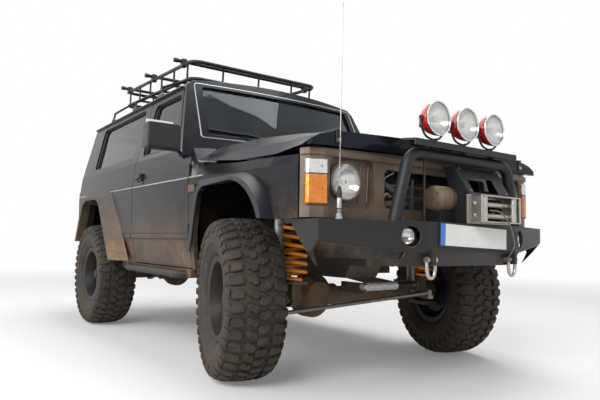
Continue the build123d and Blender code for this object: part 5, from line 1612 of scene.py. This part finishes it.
RACK_FRONT_X, RACK_TOP_Z, RACK_SLOPE = -1.180, 2.065, math.tan(math.radians(2.3))
BAR_LIFT, BAR_RADIUS, BAR_HALF = 0.027, 0.014, 0.640
END_CAP = [(0, 0), (0.0175, 0), (0.0175, 0.030), (0.014, 0.034), (0, 0.034)]
for x in (-1.345, -1.960, -2.575):
    z = RACK_TOP_Z + (RACK_FRONT_X - x) * RACK_SLOPE + BAR_LIFT
    add_bar(bars, [spot(x, -BAR_HALF, z), spot(x, BAR_HALF, z)], BAR_RADIUS, 16)
    for side in (-1, 1):
        add_turned(ends, END_CAP, spot(x, side * (BAR_HALF - 0.018), z), (0, side, 0), 20)
        add_box(ends, (x - 0.022, x + 0.022), (side * 0.556, side * 0.594),
                (z - 0.045, z + 0.018))
assembly("rack_cross_bars", "black_steel", ((bars, tube_black), (ends, seal_black, 0.003)))
print("aerial and rack done")

# %% [markdown]
# Inside, seats are padded: their steel shapes are rounded until they look stuffed. The dashboard
# gets dials under a hood, and vents. Behind the open nose stand the radiator's fins between its
# tanks.

# %% Cab and radiator
bevelled(panel("seats", seat_cloth, 0.0), 0.028, 4, 40.0)
bevelled(panel("dashboard", trim_black, 0.0), 0.008, 3, 40.0)
HOOD = [(-0.800, 1.2005), (-0.800, 1.260), (-0.815, 1.270), (-0.900, 1.262), (-0.905, 1.254),
        (-0.850, 1.2005)]
DIAL_WAY, DIAL_Z = (-0.9, 0, 0.2), 1.228
dials, rims, vents, fin, tanks, tubes = shapes(6)
add_prism(vents, HOOD, 0.21, 0.55, "xz")
for y in (0.29, 0.38, 0.47):
    add_pin(dials, 0.036, 0, 0.004, spot(-0.852, y, DIAL_Z), DIAL_WAY, 28)
    add_ring(rims, 0.037, 0.005, spot(-0.855, y, DIAL_Z), DIAL_WAY, 28)
for y in (-0.62, -0.20, 0.05, 0.66):
    add_box(vents, (-0.858, -0.846), (y - 0.055, y + 0.055), (1.120, 1.165))
assembly("dials_and_vents", "interior_plastic", ((vents, seal_black, 0.003),
                                                 (dials, mirror_black), (rims, catch_steel)))

CORE_X, CORE_Z, TANK_Z, TANK_Y = (0.401, 0.459), (0.800, 1.070), (0.761, 1.109), 0.329
add_box(fin, (0.402, 0.4585), (-0.290, -0.2885), CORE_Z)
fins = repeated(row_of_copies, fin, "fins", dull_steel, Count=146, Step=Vector((0, 0.004, 0)))
for zs in ((TANK_Z[0], CORE_Z[0]), (CORE_Z[1], TANK_Z[1])):
    add_box(tanks, CORE_X, (-TANK_Y, TANK_Y), zs)
for side in (-1, 1):
    add_box(tanks, CORE_X, (side * 0.291, side * TANK_Y), CORE_Z)
add_box(tubes, (0.415, 0.440), (-0.291, 0.291), CORE_Z)
assembly("radiator_core", "bare_steel", ((tanks, tube_black, 0.006), (tubes, dull_steel)),
         "radiator", ready=[fins])
print("cab and radiator done")

# %% [markdown]
# A pale floor and backdrop, broad soft lamps, and a camera low in front of the car's right
# corner. The floor turns white with distance, so that it has no edge.

# %% Stage, lamps and camera
WHITE = colour(1, 1, 1)
FLOOR_HALF = 40.0
SKY_LIGHT = 0.42


def seen(tree):
    """1 for what the camera sees, straight, mirrored or through glass, and 0 for light alone."""
    path = tree.node("ShaderNodeLightPath", output="Is Camera Ray")
    return path.most(path.other("Is Glossy Ray")).most(path.other("Is Transmission Ray"))


def floor_finish():
    kit = Finish("pale floor")
    plain = kit.node("ShaderNodeBsdfDiffuse", inputs={"Color": colour(0.80, 0.79, 0.78)})
    white = kit.node("ShaderNodeEmission", inputs={"Color": WHITE, "Strength": 1.0})
    distance = kit.node("ShaderNodeVectorMath", {"operation": "LENGTH"}, [kit.place],
                        output="Value")
    share = seen(kit) * (0.15 + 0.85 * distance.fade(3.0, 11.0))
    both = kit.node("ShaderNodeMixShader", inputs={0: share, 1: plain, 2: white})
    kit.node("ShaderNodeOutputMaterial", inputs={"Surface": both})
    return kit.material


def stage_floor():
    shape = bmesh.new()
    shape.faces.new([shape.verts.new((x * FLOOR_HALF, y * FLOOR_HALF, 0))
                     for x, y in ((-1, -1), (1, -1), (1, 1), (-1, 1))])
    object_from(shape, "floor", floor_finish())


def stage_world():
    world = bpy.data.worlds.new("soft sky")
    world.use_nodes = True
    world.node_tree.nodes.clear()
    tree = Tree(world.node_tree)
    light = SKY_LIGHT + (1.0 - SKY_LIGHT) * seen(tree)
    sky = tree.node("ShaderNodeBackground", inputs={"Color": WHITE, "Strength": light})
    tree.node("ShaderNodeOutputWorld", inputs={"Surface": sky})
    scene.world = world


def lamp(name, place, target, size, power):
    light = bpy.data.lights.new(name, "AREA")
    light.shape = "RECTANGLE"
    light.size, light.size_y = size
    light.energy = power
    holder = linked(name, light)
    holder.location = place
    holder.rotation_euler = (Vector(target) - holder.location).to_track_quat("-Z", "Y").to_euler()


stage_floor()
stage_world()
lamp("key", (5.0, -6.5, 5.5), (0.5, 0, 0.8), (4.5, 3.0), 520)
lamp("side", (-1.5, -8.5, 3.6), (-0.5, 0, 0.8), (5.0, 2.5), 280)
lamp("top", (0.0, 1.5, 7.5), (0.0, 0, 0.5), (6.0, 4.0), 400)
lamp("strip", (-7.5, -6.5, 4.6), (0.0, -0.9, 1.2), (6.0, 0.6), 110)

PHOTO_WIDTH = 600
FOCAL_PIXELS = 555.8
SENSOR = 36.0
AZIMUTH, ELEVATION, ROLL = (math.radians(angle) for angle in (35.74, 4.32, 0.97))
CAMERA_PLACE = spot(2.591, -2.281, 0.728)


def photo_camera():
    """A camera with the photo's lens, place and slight roll."""
    lens_data = bpy.data.cameras.new("camera")
    lens_data.sensor_fit = "HORIZONTAL"
    lens_data.sensor_width = SENSOR
    lens_data.lens = FOCAL_PIXELS / PHOTO_WIDTH * SENSOR
    camera = linked("camera", lens_data)
    ahead = Vector((-math.cos(AZIMUTH) * math.cos(ELEVATION),
                    math.sin(AZIMUTH) * math.cos(ELEVATION), math.sin(ELEVATION)))
    level = ahead.cross(Vector(UP)).normalized()
    upright = level.cross(ahead)
    right = level * math.cos(ROLL) + upright * math.sin(ROLL)
    up = upright * math.cos(ROLL) - level * math.sin(ROLL)
    turn = Matrix((right, up, -ahead)).transposed().to_4x4()
    camera.matrix_world = Matrix.Translation(CAMERA_PLACE) @ turn
    scene.camera = camera
    print(f"lens {lens_data.lens:.1f} mm")


photo_camera()
scene.view_settings.view_transform = "Standard"
